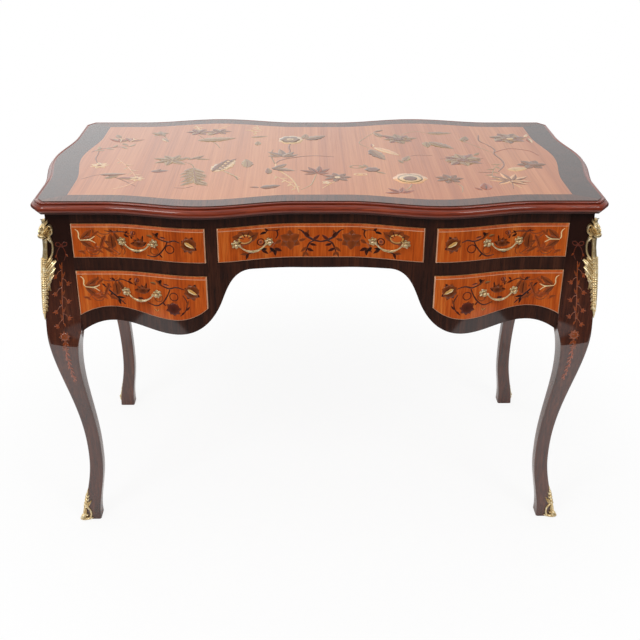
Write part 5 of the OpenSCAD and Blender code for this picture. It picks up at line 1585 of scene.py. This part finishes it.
# Lays inlays on a panel: place(u, v, lift) is the point on the panel's face. Grids that lie face down,
# where the cross products of their steps sum to less than 0, are turned over, and on a mirrored panel
# the others are.
def layInlay(name, groups, body, material):
    grids = []
    for shapes, place, flip in groups:
        for count, shape in enumerate(shapes):
            grid, tint = shape["grid"], shape["tint"]
            a, b = np.diff(grid, axis=1)[:-1], np.diff(grid, axis=0)[:, :-1]
            area = (a[..., 0] * b[..., 1] - a[..., 1] * b[..., 0]).sum()
            if (area < 0) != flip:
                grid, tint = grid[::-1], tint[::-1]
            lift = inlayLift[shape["level"]] + layers["step"] * (count % layers["count"])
            grids.append(dict(points=place(grid[..., 0], grid[..., 1], lift), tint=tint))
    makePiece(name, grids, body, [material], closed=False, thick=inlayThick)


# Flat on the top, where u and v are x and y
def onTop(u, v, lift):
    return np.stack([u, v, np.full_like(u, desk["height"] + lift)], -1)


bevelDrop = dict(start=-14, share=0.46)  # what reaches into the bevel along the top is drawn in below it


# On a drawer front, where u runs from its outer end, or from the middle on the centre drawer
def onFront(face, side, top):
    def place(u, v, lift):
        start = bevelDrop["start"]
        v = np.where(v > start, start + bevelDrop["share"] * (v - start), v)
        x = side * (postX - desk["gap"] - u) if side else u
        return onSide(face, x, faceOf(desk["proud"] + lift)(x), top + v)
    return place


# On an end panel, on top of a ground that stands out by itself
def onEnd(word, ground=0.0):
    def place(u, v, lift):
        return onSide(word, u, faceOf(lift + ground, wide=True)(u), sidePanel["top"] + v)
    return place


# On a leg's front face, 1, or its end face, -1, for the leg at that side and end of the desk
def onLegFace(side, end, face):
    def place(u, v, lift):
        return atCorner(onCorner(face * u, v, np.full_like(u, lift - wrap["lift"])), side, end)
    return place


# Grounds of the end panels, which stand out by lift and are drawn in by the inset: lines from the foot,
# which follows the panel's wave, up to the top
def sideGrounds(inset, lift):
    y = steps(-sidePanel["half"] + inset, sidePanel["half"] - inset, 3)
    foot = sideFoot(y) + sidePanel["foot"] + inset - sidePanel["top"]
    v = lerp(foot, -inset, np.linspace(0, 1, 40)[:, None])
    return [dict(points=onEnd(word)(y + 0 * v, v, lift)) for word in ("left", "right")]


# The sham fronts at the back repeat the inlays of the drawers, and all four legs share one spray
def makeMarquetry():
    drawerInlay = inlayMaterial("drawerInlay", (260, 260, 14), 0.35, 0.34)
    topWood = inlayMaterial("topInlay", (240, 14, 240), 0.7, 0.34)
    legWood = inlayMaterial("legInlay", (260, 260, 14), 1.0, 0.34, coatIor=1.8, dim=legDim)
    layInlay("topMarquetry", [(topInlay(), onTop, False)], "desk", topWood)
    patterns = dict(upper=sideDrawerInlay(False), lower=sideDrawerInlay(True), centre=centreDrawerInlay())
    backs = []
    for node, (side, _, head) in drawers.items():
        shapes, top = patterns[node.split("_")[0]], float(head(0.0))
        layInlay(camel(node) + "Marquetry", [(shapes, onFront("front", side, top), side > 0)],
                 "drawer_" + node, drawerInlay)
        backs.append((shapes, onFront("back", side, top), side > 0))
    layInlay("backMarquetry", backs, "desk", drawerInlay)
    for name, wood in (("Stringing", "paleEdge"), ("Veneer", "drawerVeneer")):
        makePiece("side" + name, sideGrounds(**sidePanel[name.lower()]), "desk",
                  [woods[wood]], closed=False, thick=inlayThick)
    sides = [(sideInlay(), onEnd(word, sidePanel["veneer"]["lift"]), False) for word in ("left", "right")]
    layInlay("sideMarquetry", sides, "desk", drawerInlay)
    legs = legInlay()
    faces = [(side, face) for side in (-1, 1) for face in (-1, 1)]
    for end, word in ((-1, "Front"), (1, "Back")):
        sprays = [(legs, onLegFace(side, end, face), side * end * face > 0) for side, face in faces]
        layInlay("legMarquetry" + word, sprays, "desk", legWood)


makeMarquetry()
print("stage: marquetry")


# The camera's place in millimetres, its turns in radians and its lens. Yaw turns it to the right, pitch
# tips it down, and roll lifts its right side.
shot = dict(place=(-34.43, -2122.85, 1449.19), pitch=0.46549, yaw=0.018158, roll=0.0048165, lens=55.125)


# The camera looks along (sin yaw cos pitch, cos yaw cos pitch, -sin pitch)
def makeCamera():
    p, y, r = shot["pitch"], shot["yaw"], shot["roll"]
    forward = np.array([np.sin(y) * np.cos(p), np.cos(y) * np.cos(p), -np.sin(p)])
    right = np.array([np.cos(y), -np.sin(y), 0])
    up = np.cross(right, forward)
    data = bpy.data.cameras.new("camera")
    data.lens, data.sensor_width, data.sensor_fit = shot["lens"], 36.0, "HORIZONTAL"
    data.clip_end = 60
    camera = bpy.data.objects.new("camera", data)
    matrix = np.eye(4)
    matrix[:3, 0] = np.cos(r) * right + np.sin(r) * up
    matrix[:3, 1] = -np.sin(r) * right + np.cos(r) * up
    matrix[:3, 2] = -forward
    matrix[:3, 3] = np.array(shot["place"]) * 0.001
    camera.matrix_world = Matrix(matrix.tolist())
    bpy.context.scene.collection.objects.link(camera)
    bpy.context.scene.camera = camera


# The studio: a sheet of white paper under the desk, soft light from above and behind, a dark room in
# front. The camera itself sees white all round.
light = dict(up=0.6, back=1.12, front=0.36, down=0.06, side=0.24, paper=1.2, camera=1.0, glow=0.88)

# Each lamp's place, width and depth, and power. All aim at one point above the floor.
lamps = dict(
    softLeft=((-1.7, -2.0, 2.5), (1.0, 1.0), 26), softRight=((1.7, -2.0, 2.5), (1.0, 1.0), 20),
    overhead=((0, -0.4, 2.9), (2.6, 0.7), 7))
lampTarget = (0, 0, 0.5)


# A rectangular lamp that is turned to look at the target
def addLamp(name, place, size, power):
    data = bpy.data.lights.new(name, "AREA")
    data.shape, data.size, data.size_y, data.energy = "RECTANGLE", size[0], size[1], power
    lamp = bpy.data.objects.new(name, data)
    lamp.location = place
    lamp.rotation_euler = (Vector(lampTarget) - Vector(place)).to_track_quat("-Z", "Y").to_euler()
    bpy.context.scene.collection.objects.link(lamp)


# The world's light goes from front to back along y, up to its own level overhead, is a little stronger
# from the left, and is nearly dark from below. The camera sees its own plain level.
def makeWorld():
    world = bpy.data.worlds.new("studio")
    world.use_nodes = True
    world.node_tree.nodes.clear()
    w = Wire(world.node_tree)
    seen = w.node("ShaderNodeLightPath", {}, {})
    way = w.node("ShaderNodeTexCoord", {}, {})
    up, ahead, across = way.axis(2), way.axis(1), way.axis(0)
    level = light["front"] + (light["back"] - light["front"]) * ahead.smooth(-0.5, 0.35)
    level = level + up.smooth(0.25, 0.8) * (light["up"] - level)
    level = level * (1 + light["side"] * (across.smooth(0.3, -0.3) - 0.5) * 2)
    level = level + up.smooth(0.0, -0.12) * (light["down"] - level)
    strength = level + seen * (light["camera"] - level)
    back = w.node("ShaderNodeBackground", {}, {0: (1, 1, 1, 1), 1: strength})
    w.node("ShaderNodeOutputWorld", {}, {0: back})
    bpy.context.scene.world = world


# White paper, which glows where the camera sees it and fades into the white of the world far out
def makeFloor():
    material, w = newMaterial("floorPaper")
    seen = w.node("ShaderNodeLightPath", {}, {})
    at = w.node("ShaderNodeTexCoord", {}, {}, out=3)
    paper = at.noise((40, 40, 40)).ramp((0.3, shade(246, 246, 246)), (0.7, shade(250, 250, 250)))
    far = w.node("ShaderNodeVectorMath", {"operation": "LENGTH"}, {0: at}, out=1).smooth(0.6, 1.15)
    soft = w.node("ShaderNodeBsdfDiffuse", {}, {0: paper})
    glow = w.node("ShaderNodeEmission", {}, {0: (1, 1, 1, 1), 1: 1.0})
    share = seen * (light["glow"] + (1 - light["glow"]) * far)
    both = w.node("ShaderNodeMixShader", {}, {0: share, 1: soft, 2: glow})
    w.node("ShaderNodeOutputMaterial", {}, {0: both})
    corners = [(x * light["paper"], y * light["paper"], 0) for x, y in ((-1, -1), (1, -1), (1, 1), (-1, 1))]
    mesh = bpy.data.meshes.new("floor")
    mesh.from_pydata(corners, [], [(0, 1, 2, 3)])
    mesh.materials.append(material)
    floor = bpy.data.objects.new("floor", mesh)
    bpy.context.scene.collection.objects.link(floor)


makeCamera()
makeWorld()
makeFloor()
for name, (place, size, power) in lamps.items():
    addLamp(name, place, size, power)
bpy.context.scene.view_settings.view_transform = "Standard"
print("stage: camera and light")
